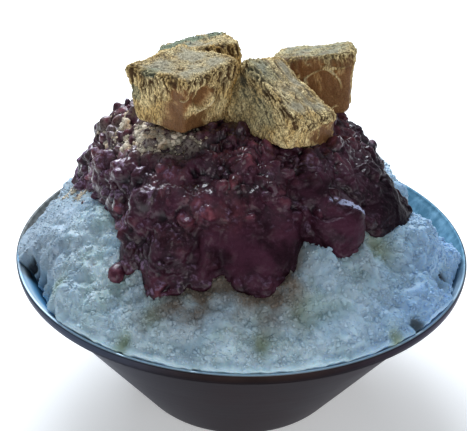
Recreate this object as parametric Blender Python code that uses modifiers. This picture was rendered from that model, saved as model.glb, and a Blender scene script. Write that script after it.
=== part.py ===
"""A bowl of patbingsu: shaved ice heaped in a wide steel bowl, topped with stewed red beans and rice cakes.

The axis of the bowl is +Z, its base stands on Z = 0 at the origin, and the front of the dish faces -Y.
Every length below is in millimetres and every angle in degrees. MM turns them into Blender's metres.
"""

import math

import bmesh
import bpy
import numpy as np
from mathutils import Euler, Matrix, Vector

MM = 0.001

# ---------------------------------------------------------------- driving dimensions
RIM_RADIUS = 90.0  # outside of the rolled lip
BOWL_HEIGHT = 67.0  # from the table to the top of the lip
BASE_RADIUS = 41.5  # where the line of the outer wall meets the table
CORNER_RADIUS = 6.0  # pressed round between the base and the wall
WALL = 1.2
LIP_HEIGHT = 4.2  # the band that is rolled over outside
LIP_STEP = 0.5  # how far that band leans in at its lower edge
GAP = 0.4  # left between two faceted pieces that touch
PRESS_MARGIN = 0.5  # the same between a rice cake and the pocket that it presses into the beans

ICE_CROWN = 42.0  # top of the ice above the rim, under the beans
ICE_BANK_SLOPE = 1.9  # how steeply the heap ends where it stops short of the wall
ICE_CLUMPS = ((1.6, 19.0), (0.8, 10.0))  # height and spacing of the large and the small clumps
CLUMP_FADE = 5.0  # distance over which the clumps die away at an edge
ICE_SPREAD = 0.85  # draws the rings of facets outwards, where the ice shows

BEAN_CROWN = 58.0  # top of the beans above the rim
BEAN_REACH = 58.0  # radius that the beans cover between their lobes
BEAN_FULLNESS = (4.0, 1.6)  # power of the dome's outline, and its gain on the left and loss on the right
BEAN_EDGE_ROUND = 0.75  # power that rounds the dome's foot, 1 for none
BEAN_CLUMPS = ((1.5, 15.0), (0.9, 8.0))
BEAN_SPREAD = 0.9  # draws the rings of facets outwards, where the dome is steep
BEAN_LIFT = 0.9  # the beans stand this much above the ice

STEPS = 72  # facets round the bowl, shared by everything that lies against it
ICE_RINGS = (12, 5, 2)  # rings of facets over the heap, down the wall and across the floor
BEAN_RINGS = (15, 5)  # rings over the top and rounded edge, and under the beans

# Lobes of the bean topping: direction (0 is +X, -90 the front), reach past BEAN_REACH, half width. They fade
# up the dome as a power of the share of the way out.
BEAN_LOBE_FADE = 3.0
BEAN_LOBES = (
    (-127.5, 12.0, 5.0),
    (-114.5, 15.0, 7.5),
    (-101.5, 8.0, 4.0),
    (-84.5, 11.0, 12.5),
    (-66.0, -7.0, 5.5),
    (-53.5, 9.0, 4.0),
    (-39.5, -5.5, 4.0),
    (-32.0, 4.5, 11.0),
    (-10.0, 9.0, 12.0),
    (33.0, 5.5, 11.0),
    (66.0, 8.0, 10.0),
    (103.0, 5.0, 9.0),
    (138.0, 5.5, 12.0),
    (171.5, 9.0, 12.5),
    (202.0, -2.0, 9.0),
)

# Where the ice stops short of the wall: direction, how far, half width.
ICE_HOLLOWS = (
    (-17.0, 4.0, 6.0),
    (20.0, 10.0, 14.0),
    (52.0, 8.5, 28.0),
    (110.0, 8.5, 30.0),
    (155.0, 5.0, 13.0),
    (207.0, 7.5, 9.0),
)

# The four rice cakes. Centre is above the middle of the rim, turn is an XYZ Euler angle, size is width, depth
# and height. Taper is the bottom's share of the top, splay and thin are the front's share of the back in
# width and height, and lean moves the top sideways over the bottom.
RICE_CAKES = {
    "rice_cake_left": {
        "centre": (-22.6, -14.9, 69.5),
        "turn": (-1.0, -1.0, -37.0),
        "size": (29.6, 31.0, 23.4),
        "taper": 0.76,
        "splay": 1.03,
        "thin": 0.92,
        "lean": (0.5, 0.4),
    },
    "rice_cake_back": {
        "centre": (-17.6, 17.7, 65.0),
        "turn": (-7.0, -11.0, 8.0),
        "size": (26.5, 26.0, 22.5),
        "taper": 0.94,
        "splay": 1.22,
        "thin": 1.0,
        "lean": (0.0, 0.0),
    },
    "rice_cake_middle": {
        "centre": (13.8, -12.6, 62.3),
        "turn": (15.0, 11.0, 54.0),
        "size": (24.0, 30.8, 27.0),
        "taper": 1.05,
        "splay": 1.3,
        "thin": 0.42,
        "lean": (-2.2, 0.4),
    },
    "rice_cake_right": {
        "centre": (29.5, 20.0, 61.2),
        "turn": (-11.0, -10.0, -5.0),
        "size": (27.0, 26.8, 25.2),
        "taper": 0.83,
        "splay": 1.06,
        "thin": 0.95,
        "lean": (0.8, -0.2),
    },
}
CAKE_CUTS = 4  # grid lines across each face
CAKE_SWELLS = ((0.5, 19.0), (0.18, 9.0))  # how far a face bulges or dips, and how widely

WALL_SLOPE = (RIM_RADIUS - BASE_RADIUS) / BOWL_HEIGHT  # outwards for each millimetre up
MOUTH_RADIUS = RIM_RADIUS - WALL * math.hypot(1.0, WALL_SLOPE)


# ---------------------------------------------------------------- formulas of the shapes
def bump_sum(azimuth, bumps):
    """Adds a smooth bell for each (direction, height, half width), wrapped round the full circle."""
    total = np.zeros_like(azimuth)
    for direction, height, half_width in bumps:
        away = (np.degrees(azimuth) - direction + 180.0) % 360.0 - 180.0
        total += height * np.exp(-((away / half_width) ** 2))
    return total


def lumps(x, y, z, size):
    """Smooth unevenness from -1 to 1: three crossed, bent waves whose crests are about size apart."""
    k = 2.0 * math.pi / size
    a = np.sin(k * (0.83 * x + 0.41 * y + 0.37 * z) + 1.7 * np.sin(0.43 * k * y + 0.9))
    b = np.sin(k * (-0.52 * x + 0.79 * y - 0.31 * z) + 1.5 * np.sin(0.39 * k * x + 2.3))
    c = np.sin(k * (0.27 * x - 0.36 * y + 0.92 * z) + 1.3 * np.sin(0.47 * k * (x + y) + 4.1))
    return (a + b + c) / 3.0


def clumps(x, y, z, sizes):
    """Adds lumps of several (height, spacing), each set out of step with the next."""
    total = np.zeros_like(x)
    for step, (height, spacing) in enumerate(sizes):
        total += height * lumps(x + 40.0 * step, y, z, spacing)
    return total


def outer_wall(height):
    """Radius of the outer wall's straight cone at a height above the table."""
    return BASE_RADIUS + WALL_SLOPE * height


def inner_wall(height):
    """Radius of the inner wall, the outer cone moved in by the sheet's thickness."""
    return outer_wall(height) - WALL * math.hypot(1.0, WALL_SLOPE)


def ice_edge(azimuth):
    """Radius at which the heap of ice ends: at the wall in front, short of it at the sides and back."""
    return MOUTH_RADIUS - 2.0 * GAP - bump_sum(azimuth, ICE_HOLLOWS)


def ice_surface(radius, azimuth):
    """Height of the ice above the rim: a paraboloid with clumps, cut off by a steep bank at its edge.

    The clumps fade out at the edge and under the beans.
    """
    edge = ice_edge(azimuth)
    dome = ICE_CROWN * (1.0 - (radius / MOUTH_RADIUS) ** 2)
    bank = ICE_BANK_SLOPE * (edge - radius)
    x, y = radius * np.cos(azimuth), radius * np.sin(azimuth)
    from_wall = np.clip((edge - radius) / CLUMP_FADE, 0.0, 1.0)
    from_beans = np.clip((radius - bean_edge(azimuth)) / CLUMP_FADE, 0.0, 1.0)
    return np.minimum(dome, bank) + clumps(x, y, dome, ICE_CLUMPS) * from_wall * from_beans


def bean_edge(azimuth):
    """Radius that the bean topping reaches, with its lobes."""
    return BEAN_REACH + bump_sum(azimuth, BEAN_LOBES)


def bean_surface(share, azimuth):
    """Radius and height above the rim at a share of the way out: a flat-topped dome, fuller on the left."""
    radius = BEAN_REACH * share + bump_sum(azimuth, BEAN_LOBES) * share**BEAN_LOBE_FADE
    foot = ice_surface(bean_edge(azimuth), azimuth) + BEAN_LIFT
    fullness = BEAN_FULLNESS[0] - BEAN_FULLNESS[1] * np.cos(azimuth)
    dome = foot + (BEAN_CROWN - foot) * (1.0 - share**fullness) ** BEAN_EDGE_ROUND
    x, y = radius * np.cos(azimuth), radius * np.sin(azimuth)
    from_edge = np.clip((1.0 - share) * BEAN_REACH / (2.0 * CLUMP_FADE), 0.0, 1.0)
    return radius, dome + clumps(x, y, dome, BEAN_CLUMPS) * from_edge


# ---------------------------------------------------------------- Blender helpers
def clear_scene():
    for obj in list(bpy.data.objects):
        bpy.data.objects.remove(obj, do_unlink=True)


def collection(name):
    made = bpy.data.collections.new(name)
    bpy.context.scene.collection.children.link(made)
    return made


def move_to(obj, target):
    for holder in list(obj.users_collection):
        holder.objects.unlink(obj)
    target.objects.link(obj)


def material(name, colour, roughness, metallic=0.0):
    made = bpy.data.materials.new(name)
    made.use_nodes = True
    shader = made.node_tree.nodes["Principled BSDF"]
    shader.inputs["Base Color"].default_value = (*colour, 1.0)
    shader.inputs["Roughness"].default_value = roughness
    shader.inputs["Metallic"].default_value = metallic
    made.diffuse_color = (*colour, 1.0)
    return made


def turned(name, profile, steps):
    """A solid of revolution: the profile, a list of (radius, height), carried round Z by a Screw modifier."""
    mesh = bpy.data.meshes.new(name)
    points = [(r * MM, 0.0, z * MM) for r, z in profile]
    mesh.from_pydata(points, [(i, i + 1) for i in range(len(points) - 1)], [])
    obj = bpy.data.objects.new(name, mesh)
    bpy.context.scene.collection.objects.link(obj)
    screw = obj.modifiers.new("turn", "SCREW")
    screw.steps = screw.render_steps = steps
    screw.use_merge_vertices = True
    screw.merge_threshold = 0.0001
    screw.use_smooth_shade = True
    return obj


def reshaped_sphere(name, segments, rings, place):
    """A UV sphere with its vertices moved to place(azimuth, share), where share is 0 at the top pole."""
    bpy.ops.mesh.primitive_uv_sphere_add(segments=segments, ring_count=rings, radius=1.0)
    obj = bpy.context.object
    obj.name = obj.data.name = name
    mesh = obj.data
    co = np.empty(len(mesh.vertices) * 3)
    mesh.vertices.foreach_get("co", co)
    x, y, z = co.reshape(-1, 3).T
    azimuth = np.arctan2(y, x)
    share = np.arccos(np.clip(z, -1.0, 1.0)) / math.pi
    moved = place(azimuth, share) * MM
    mesh.vertices.foreach_set("co", moved.ravel())
    mesh.update()
    mesh.shade_smooth()
    return obj


# ---------------------------------------------------------------- the bowl
def arc(centre_r, centre_z, radius, start, end, count):
    """Points along an arc in the (radius, height) plane, angles in degrees from +r towards +z."""
    angles = [math.radians(start + (end - start) * i / count) for i in range(count + 1)]
    return [(centre_r + radius * math.cos(a), centre_z + radius * math.sin(a)) for a in angles]


def bowl_profile():
    """From the middle of the floor up the inside, over the lip and down the outside to the middle below."""
    lean = -math.degrees(math.atan(WALL_SLOPE))
    centre_r = outer_wall(CORNER_RADIUS) - CORNER_RADIUS / math.cos(math.radians(lean))
    tip = (RIM_RADIUS - MOUTH_RADIUS) / 2.0
    under = BOWL_HEIGHT - LIP_HEIGHT
    half_up = BOWL_HEIGHT / 2.0
    profile = [(0.0, WALL)]
    profile += arc(centre_r, CORNER_RADIUS, CORNER_RADIUS - WALL, -90.0, lean, 2)
    profile += [(inner_wall(half_up), half_up)]
    profile += arc(RIM_RADIUS - tip, BOWL_HEIGHT - tip, tip, 180.0, 0.0, 4)
    profile += [(RIM_RADIUS - LIP_STEP, under), (outer_wall(under) + LIP_STEP, under - LIP_STEP)]
    profile += [(outer_wall(under - 2.0 * LIP_STEP), under - 2.0 * LIP_STEP), (outer_wall(half_up), half_up)]
    profile += arc(centre_r, CORNER_RADIUS, CORNER_RADIUS, lean, -90.0, 2)
    profile += [(0.0, 0.0)]
    return profile


def make_bowl(finish):
    bowl = turned("bowl", bowl_profile(), STEPS)
    bowl.data.materials.append(finish)
    return bowl


# ---------------------------------------------------------------- the shaved ice
def place_ice(azimuth, share):
    """The sphere's top rings spread over the heap, the next follow the bowl's wall, the last its floor."""
    over, down, across = ICE_RINGS
    ring = share * sum(ICE_RINGS)
    edge = ice_edge(azimuth)
    short = MOUTH_RADIUS - GAP - edge
    drop = short * ICE_BANK_SLOPE / (1.0 + ICE_BANK_SLOPE * WALL_SLOPE)
    foot = edge + drop / ICE_BANK_SLOPE
    on_top = np.clip(ring / over, 0.0, 1.0)
    on_wall = np.clip((ring - over) / down, 0.0, 1.0)
    on_floor = np.clip((ring - over - down) / across, 0.0, 1.0)
    radius = on_top**ICE_SPREAD * foot
    height = BOWL_HEIGHT + ice_surface(radius, azimuth)
    floor = WALL + GAP
    wall_height = (BOWL_HEIGHT - drop) * (1.0 - on_wall) + (floor + CORNER_RADIUS / 2.0) * on_wall
    radius = np.where(on_wall > 0.0, inner_wall(wall_height) - GAP, radius)
    height = np.where(on_wall > 0.0, wall_height, height)
    radius = np.where(on_floor > 0.0, (inner_wall(floor) - CORNER_RADIUS) * (1.0 - on_floor), radius)
    height = np.where(on_floor > 0.0, floor, height)
    return np.stack([radius * np.cos(azimuth), radius * np.sin(azimuth), height], axis=1)


def make_ice(finish):
    ice = reshaped_sphere("shaved_ice", STEPS, sum(ICE_RINGS), place_ice)
    ice.data.materials.append(finish)
    return ice


# ---------------------------------------------------------------- the stewed red beans
def place_beans(azimuth, share):
    """The sphere's top rings are the topping's upper face and rounded edge, the rest its underside."""
    over, below = BEAN_RINGS
    ring = share * sum(BEAN_RINGS)
    outwards = np.sin(np.clip(ring / over, 0.0, 1.0) * math.pi / 2.0) ** BEAN_SPREAD
    inwards = 1.0 - np.clip((ring - over) / below, 0.0, 1.0)
    under = ring > over + 0.5
    top_radius, top_height = bean_surface(outwards, azimuth)
    radius = np.where(under, bean_edge(azimuth) * inwards, top_radius)
    underside = ice_surface(radius, azimuth) + BEAN_LIFT
    height = BOWL_HEIGHT + np.where(under, underside, top_height)
    return np.stack([radius * np.cos(azimuth), radius * np.sin(azimuth), height], axis=1)


def make_beans(finish, cutters):
    """The topping, with a pressed pocket under each rice cake."""
    beans = reshaped_sphere("red_beans", STEPS, sum(BEAN_RINGS), place_beans)
    beans.data.materials.append(finish)
    for cutter in cutters:
        pocket = beans.modifiers.new("pocket_" + cutter.name, "BOOLEAN")
        pocket.operation = "DIFFERENCE"
        pocket.object = cutter
    return beans


# ---------------------------------------------------------------- the rice cakes
def cake_shape(name, cake, margin):
    """A cube drawn out to the cake's own tapered block, softened and uneven, and grown by a margin."""
    bpy.ops.mesh.primitive_cube_add(size=2.0)
    obj = bpy.context.object
    obj.name = obj.data.name = name
    width, depth, height = cake["size"]
    lean_x, lean_y = cake["lean"]
    for vertex in obj.data.vertices:
        sx, sy, sz = vertex.co
        plan = cake["taper"] if sz < 0 else 1.0
        front = cake["splay"] if sy < 0 else 1.0
        thick = cake["thin"] if sy < 0 else 1.0
        x = sx * width / 2.0 * plan * front + sz * lean_x
        y = sy * depth / 2.0 * plan + sz * lean_y
        z = sz * height / 2.0 * thick
        vertex.co = Vector((x, y, z)) * MM
    soften(obj, cake["centre"], margin)
    turn = Euler([math.radians(a) for a in cake["turn"]], "XYZ").to_matrix().to_4x4()
    place = Matrix.Translation(Vector(cake["centre"]) * MM + Vector((0.0, 0.0, BOWL_HEIGHT * MM)))
    obj.data.transform(place @ turn)
    obj.data.shade_smooth()
    return obj


def soften(obj, seed, margin):
    """Cuts each face into a grid, smooths it to round the block, adds swells, and grows it by the margin."""
    mesh = bmesh.new()
    mesh.from_mesh(obj.data)
    bmesh.ops.subdivide_edges(mesh, edges=mesh.edges, cuts=CAKE_CUTS, use_grid_fill=True)
    bmesh.ops.smooth_vert(
        mesh, verts=mesh.verts, factor=0.5, use_axis_x=True, use_axis_y=True, use_axis_z=True
    )
    bmesh.ops.triangulate(mesh, faces=mesh.faces)
    co = np.array([vertex.co for vertex in mesh.verts]) / MM + np.array(seed)
    swell = clumps(co[:, 0], co[:, 1], co[:, 2], CAKE_SWELLS)
    mesh.normal_update()
    for vertex, height in zip(mesh.verts, swell):
        vertex.co += vertex.normal * (float(height) + margin) * MM
    mesh.to_mesh(obj.data)
    mesh.free()


def make_cakes(finish):
    cakes = []
    for name, cake in RICE_CAKES.items():
        obj = cake_shape(name, cake, 0.0)
        obj.data.materials.append(finish)
        cakes.append(obj)
    return cakes


def make_cutters(holder):
    """A slightly larger copy of each cake, which presses its pocket into the beans."""
    cutters = []
    for name, cake in RICE_CAKES.items():
        cutter = cake_shape("press_" + name, cake, PRESS_MARGIN)
        cutter.hide_render = True
        cutter.display_type = "WIRE"
        move_to(cutter, holder)
        cutters.append(cutter)
    return cutters


def main():
    clear_scene()
    dish, tools = collection("bingsu"), collection("cutters")
    steel = material("steel", (0.16, 0.15, 0.16), 0.32, 1.0)
    snow = material("shaved_ice", (0.62, 0.72, 0.8), 0.55)
    stew = material("red_beans", (0.055, 0.018, 0.022), 0.22)
    powdered = material("bean_powder", (0.42, 0.33, 0.18), 0.85)
    pieces = [make_bowl(steel), make_ice(snow)]
    pieces += make_cakes(powdered)
    pieces.append(make_beans(stew, make_cutters(tools)))
    for piece in pieces:
        move_to(piece, dish)


main()
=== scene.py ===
# %% [markdown]
# # A bowl of bingsu, piece by piece
#
# Bingsu is a Korean dessert of finely shaved ice. This one stands in a wide steel bowl. A glossy heap of
# stewed red beans covers the middle of the ice, and four cubes of rice cake, rolled in roasted soybean
# powder, sit on the beans.
#
# The CAD part already gives every piece its place and its size, but its solids are plain. This lesson
# dresses them. It starts by loading the part, which stays fixed, and every new piece is then worked out
# from the same named sizes, so it lands where its solid is.

# %% Load the packed part
import itertools
import math

import bpy
import numpy as np
from mathutils import Euler, Matrix, Vector


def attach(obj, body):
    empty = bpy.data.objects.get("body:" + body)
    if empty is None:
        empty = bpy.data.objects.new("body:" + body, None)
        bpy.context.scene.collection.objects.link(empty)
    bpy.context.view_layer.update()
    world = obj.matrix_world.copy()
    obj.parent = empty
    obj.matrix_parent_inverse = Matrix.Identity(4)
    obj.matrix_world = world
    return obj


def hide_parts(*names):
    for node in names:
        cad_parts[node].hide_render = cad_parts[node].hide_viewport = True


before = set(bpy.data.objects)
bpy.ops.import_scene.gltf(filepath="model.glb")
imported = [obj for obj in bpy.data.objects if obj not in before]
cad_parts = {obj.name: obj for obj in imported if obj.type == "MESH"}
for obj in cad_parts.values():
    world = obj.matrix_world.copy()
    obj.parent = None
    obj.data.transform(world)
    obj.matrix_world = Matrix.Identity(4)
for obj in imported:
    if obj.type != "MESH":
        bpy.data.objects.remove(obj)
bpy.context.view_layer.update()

MM = 0.001
print("nodes:", sorted(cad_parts))

# %% [markdown]
# ## The sizes
#
# All lengths below are millimetres and all angles are degrees. The bowl's axis is +Z, its base stands on
# Z = 0, and the front of the dish faces -Y. A direction round the bowl is an azimuth: 0 is +X, -90 the
# front. Nearly all of these are the sizes that the solids were made with. A few of the topping's lobes and
# the ice's last hollow differ a little from them, for a closer outline.

# %% The bowl, the heap and the topping in numbers
RIM_RADIUS = 90.0
BOWL_HEIGHT = 67.0
BASE_RADIUS = 41.5
CORNER_RADIUS = 6.0
WALL = 1.2
LIP_HEIGHT = 4.2
LIP_STEP = 0.5
WALL_SLOPE = (RIM_RADIUS - BASE_RADIUS) / BOWL_HEIGHT
MOUTH_RADIUS = RIM_RADIUS - WALL * math.hypot(1.0, WALL_SLOPE)
GAP = 0.4

ICE_CROWN = 42.0
ICE_BANK_SLOPE = 1.9
ICE_HOLLOWS = (
    (-17.0, 4.0, 6.0),
    (20.0, 10.0, 14.0),
    (52.0, 8.5, 28.0),
    (110.0, 8.5, 30.0),
    (155.0, 5.0, 13.0),
    (208.0, 7.0, 8.5),
)

BEAN_CROWN = 58.0
BEAN_REACH = 58.0
BEAN_FULLNESS = (4.0, 1.6)
BEAN_EDGE_ROUND = 0.75
BEAN_LIFT = 0.9
BEAN_LOBE_FADE = 3.0
BEAN_LOBES = (
    (-127.5, 11.0, 5.0),
    (-114.5, 15.0, 7.5),
    (-107.5, 4.5, 3.0),
    (-101.5, 8.0, 4.0),
    (-84.5, 11.0, 12.5),
    (-65.5, -5.5, 4.5),
    (-57.5, 3.5, 4.0),
    (-50.5, 4.0, 6.0),
    (-41.5, -5.5, 3.5),
    (-31.0, 4.0, 10.0),
    (-12.0, 9.5, 11.0),
    (33.0, 5.5, 11.0),
    (66.0, 8.0, 10.0),
    (103.0, 5.0, 9.0),
    (138.0, 5.5, 12.0),
    (171.5, 9.0, 12.5),
    (202.0, -2.0, 9.0),
)

# %% [markdown]
# ## Noise: how food gets its unevenness
#
# Ice, beans and powder are never smooth, and no two clumps are alike. Two kinds of noise make that
# unevenness. *Ripple* is a smooth random wave: good for swells, fibres and colour that drifts. *Cobbles*
# are cells round scattered middles, like bubbles pressed together: good for clumps, because the height
# falls off round each middle and leaves a crease where two meet. Where something has a known place, such
# as a pit or a damp spot, a *bell* marks it: 1 in the middle, fading out round it. All of them work on whole
# arrays of points at once. Blender has such patterns as textures, but a shape that has to be in the mesh is
# easier to steer when it is worked out here.

# %% Ripple and cobbles
DIRECTIONS = np.random.default_rng(5).normal(size=(256, 3))
DIRECTIONS /= np.linalg.norm(DIRECTIONS, axis=1, keepdims=True)


def mix_bits(cells, seed):
    """A fixed random 32-bit number for each whole-numbered cell.

    Formula: the cell's three numbers times three odd constants, combined by exclusive or, then folded over
    and multiplied three times."""
    x, y, z = (cells[..., axis].astype(np.int64).astype(np.uint32) for axis in range(3))
    bits = (x * np.uint32(0x8DA6B343)) ^ (y * np.uint32(0xD8163841)) ^ (z * np.uint32(0xCB1AB31F))
    bits = bits ^ np.uint32(seed * 7919 + 17)
    for fold in (15, 12, 15):
        bits = (bits ^ (bits >> np.uint32(fold))) * np.uint32(0x2C1B3C6D)
    return bits ^ (bits >> np.uint32(16))


def ripple(points, size, seed):
    """Smooth random waves from about -1 to 1, with crests about size apart.

    Formula: each corner of the cell round a point has its own slope. The eight slopes are followed to the
    point and blended with the weights 6t^5 - 15t^4 + 10t^3."""
    scaled = points / size
    cell = np.floor(scaled)
    inside = scaled - cell
    ease = inside**3 * (inside * (inside * 6.0 - 15.0) + 10.0)
    total = np.zeros(points.shape[:-1])
    for corner in itertools.product((0, 1), repeat=3):
        slope = DIRECTIONS[mix_bits(cell + np.array(corner), seed) & np.uint32(255)]
        share = np.where(corner, ease, 1.0 - ease).prod(axis=-1)
        total += share * ((inside - corner) * slope).sum(axis=-1)
    return 1.7 * total


def three_ripples(points, size, seed):
    """A random push in every direction: one ripple for X, one for Y and one for Z."""
    return np.stack([ripple(points, size, seed + part) for part in range(3)], axis=-1)


def cobbles(points, size, seed):
    """Distances to the nearest and second nearest scattered middle, in cells, and the nearest one's number.

    Formula: every cell holds one middle, moved off its centre by three parts of its random number; the
    27 cells round a point are searched."""
    scaled = points / size
    cell = np.floor(scaled)
    first = np.full(points.shape[:-1], 9.0)
    second = first.copy()
    owner = np.zeros(points.shape[:-1])
    for step in itertools.product((-1, 0, 1), repeat=3):
        there = cell + np.array(step)
        bits = mix_bits(there, seed)
        off = np.stack([(bits >> np.uint32(shift)) & np.uint32(1023) for shift in (0, 10, 20)], axis=-1)
        away = np.linalg.norm(there + 0.1 + 0.8 * off / 1023.0 - scaled, axis=-1)
        closer = away < first
        second = np.where(closer, first, np.minimum(second, away))
        owner = np.where(closer, (bits & np.uint32(4095)) / 4095.0, owner)
        first = np.where(closer, away, first)
    return first, second, owner

# %% Steps and bells
def smooth_step(value, low, high):
    """0 below low, 1 above high, and 3t^2 - 2t^3 between."""
    t = np.clip((value - low) / (high - low), 0.0, 1.0)
    return t * t * (3.0 - 2.0 * t)


def bell(points, middle, reach):
    """1 in the middle, falling to 0 round it: exp(-(away / reach)^2). The reach may differ by axis."""
    return np.exp(-(((points - np.array(middle)) / np.array(reach)) ** 2).sum(axis=-1))


def bells(points, spots):
    """The highest of the bells of these spots, each a middle and a reach."""
    return np.max([bell(points, middle, reach) for middle, reach in spots], axis=0)


trial = np.random.default_rng(1).uniform(0.0, 100.0, (2000, 3))
print("ripple runs from %.2f to %.2f" % (ripple(trial, 7.0, 1).min(), ripple(trial, 7.0, 1).max()))

# %% [markdown]
# ## From arrays to a mesh
#
# Each piece is a grid of points and the faces that join them. A grid that runs round the bowl closes on
# itself, and its first and last ring are closed by a fan of triangles round a pole, so no piece has a hole.
# A point can also carry a tint: four numbers that a material reads later as a mask, such as how deep in a
# crease the point is. `foreach_set` hands whole arrays to Blender, which is far quicker than a loop.

# %% Grids, closed shells and tints
def round_grid(rows, columns):
    """Quads of a grid of rows whose columns run round and close. They face up and outwards."""
    row, column = np.meshgrid(np.arange(rows - 1), np.arange(columns), indexing="ij")
    after = (column + 1) % columns
    corners = [(row, column), (row + 1, column), (row + 1, after), (row, after)]
    return np.stack([r * columns + c for r, c in corners], axis=-1).reshape(-1, 4)


def shell_faces(rows, columns):
    """Faces of a closed shell: the grid's quads, and a fan from the pole above and from the pole below."""
    around = np.arange(columns)
    after = (around + 1) % columns
    top, bottom = rows * columns, rows * columns + 1
    last = (rows - 1) * columns
    top_fan = np.stack([np.full(columns, top), around, after], axis=-1)
    bottom_fan = np.stack([np.full(columns, bottom), last + after, last + around], axis=-1)
    return [round_grid(rows, columns), top_fan, bottom_fan]


def shell_points(rings, top, bottom):
    """The rings' points in one list, with the two poles after them."""
    return np.concatenate([rings.reshape(-1, 3), [top], [bottom]])

# %% From arrays to an object
def make_piece(name, points, faces, finish, tint=None):
    """A mesh object from points in millimetres and blocks of faces, with its tint and its material."""
    mesh = bpy.data.meshes.new(name)
    mesh.vertices.add(len(points))
    mesh.vertices.foreach_set("co", (points * MM).astype(np.float32).ravel())
    corners = np.concatenate([block.ravel() for block in faces])
    sides = np.concatenate([np.full(len(block), block.shape[1]) for block in faces])
    mesh.loops.add(len(corners))
    mesh.loops.foreach_set("vertex_index", corners.astype(np.int32))
    mesh.polygons.add(len(sides))
    mesh.polygons.foreach_set("loop_start", (np.cumsum(sides) - sides).astype(np.int32))
    mesh.update(calc_edges=True)
    mesh.shade_smooth()
    if tint is not None:
        layer = mesh.attributes.new("tint", "FLOAT_COLOR", "POINT")
        layer.data.foreach_set("color", tint.astype(np.float32).ravel())
    piece = bpy.data.objects.new(name, mesh)
    bpy.context.scene.collection.objects.link(piece)
    mesh.materials.append(finish)
    print(name, "has", int((sides - 2).sum()), "triangles")
    return piece


def serve(piece, slot, *nodes):
    """The piece rides on the part's body and stands for these CAD nodes. The slot is not used."""
    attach(piece, "root")
    if nodes:
        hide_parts(*nodes)

# %% Points round the axis
def once_round(count):
    """The azimuths of count even steps round the axis, in radians."""
    return np.arange(count) / count * 2.0 * math.pi


def polar(radius, azimuth, height):
    """Points from a radius, an azimuth in radians and a height."""
    radius, azimuth, height = np.broadcast_arrays(radius, azimuth, height)
    return np.stack([radius * np.cos(azimuth), radius * np.sin(azimuth), height], axis=-1)


def to_polar(points):
    """The points' radii and azimuths."""
    return np.hypot(points[..., 0], points[..., 1]), np.arctan2(points[..., 1], points[..., 0])


def tints(*masks):
    """Up to four masks side by side as colours, with 1 for what isn't given."""
    given = [np.ravel(mask) for mask in masks]
    return np.stack(given + [np.ones_like(given[0])] * (4 - len(given)), axis=-1)

# %% [markdown]
# ## Many small things
#
# Beans, chips of ice and grains of powder are each a ball of a few dozen faces, squeezed, bent and turned
# in its own way. All balls of one kind are made at once: a unit ball's points times each ball's own three
# axes, plus its own middle. Instances would be lighter, but the library's export keeps only real mesh, so
# each kind is one joined mesh.

# %% Balls by the thousand
def ball(segments, rings):
    """A unit ball's points and faces. Formula: (sin v cos u, sin v sin u, cos v), u round and v down."""
    down = np.arange(1, rings + 1) / (rings + 1) * math.pi
    grid = polar(np.sin(down)[:, None], once_round(segments), np.cos(down)[:, None])
    return shell_points(grid, (0.0, 0.0, 1.0), (0.0, 0.0, -1.0)), shell_faces(rings, segments)


def repeat_faces(faces, count, step):
    """The same faces for count balls, each ball's numbers step further on."""
    shifts = np.arange(count)[:, None, None] * step
    return [(block[None] + shifts).reshape(-1, block.shape[1]) for block in faces]


def axes_on(normals, sizes, tilt, rng):
    """Three half axes for each ball: long and wide along the surface, thick along its normal.

    Formula: a level direction crossed with the normal gives a first tangent; both tangents are turned
    about the normal by any angle, then the long one and the normal are tilted towards each other."""
    turns, tilts = rng.uniform(0.0, 6.3, len(normals)), tilt * rng.normal(size=len(normals))
    level = np.where(np.abs(normals[:, 2:]) > 0.9, [1.0, 0.0, 0.0], [0.0, 0.0, 1.0])
    side = np.cross(normals, level)
    side /= np.linalg.norm(side, axis=1, keepdims=True)
    up = np.cross(normals, side)
    cos, sin = np.cos(turns)[:, None], np.sin(turns)[:, None]
    long, wide = side * cos + up * sin, up * cos - side * sin
    cos, sin = np.cos(tilts)[:, None], np.sin(tilts)[:, None]
    long, thick = long * cos + normals * sin, normals * cos - long * sin
    return np.stack([long, wide, thick], axis=1) * sizes[:, :, None] / 2.0


def far_apart(unit, count):
    """A copy of the ball's points for each ball, far apart, so that a ripple dents each in its own way."""
    return unit[None] + 9.0 * np.arange(count)[:, None, None]


def place_balls(shapes, middles, axes):
    """Every ball's points. Formula: middle + x * long axis + y * wide axis + z * thick axis."""
    return (middles[:, None, :] + np.einsum("nvi,nij->nvj", shapes, axes)).reshape(-1, 3)

# %% [markdown]
# ## Finishes as Python
#
# A material in Blender is a graph of nodes. Wiring it by hand in code is long-winded, so two small classes
# help. A *Wire* is the output of a node, and Python's arithmetic on wires adds the Math nodes. A *Finish*
# is one material: its method `node` makes any other node from its type, its settings and what goes into
# its sockets. Colours go through a Mix node, because a Math node would turn them grey.

# %% Wire
def operator(operation, flipped=False):
    """A method for Python's arithmetic: a Math node of a wire and another wire or number, or the reverse."""
    if flipped:
        return lambda wire, other: wire.math(operation, other, wire)
    return lambda wire, other: wire.math(operation, wire, other)


class Wire:
    """A number, colour or direction that varies over a surface: the output socket of a node."""

    def __init__(self, finish, socket):
        self.finish, self.socket = finish, socket

    def math(self, operation, first, second):
        return self.finish.node("ShaderNodeMath", {"operation": operation}, {0: first, 1: second})

    __add__ = __radd__ = operator("ADD")
    __mul__ = __rmul__ = operator("MULTIPLY")
    __sub__, __rsub__ = operator("SUBTRACT"), operator("SUBTRACT", flipped=True)
    __truediv__, __pow__ = operator("DIVIDE"), operator("POWER")

    def step(self, low, high):
        """0 below low, 1 above high, smooth between."""
        sockets = {"Value": self, "From Min": low, "From Max": high}
        return self.finish.node("ShaderNodeMapRange", {"interpolation_type": "SMOOTHSTEP"}, sockets)

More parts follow.
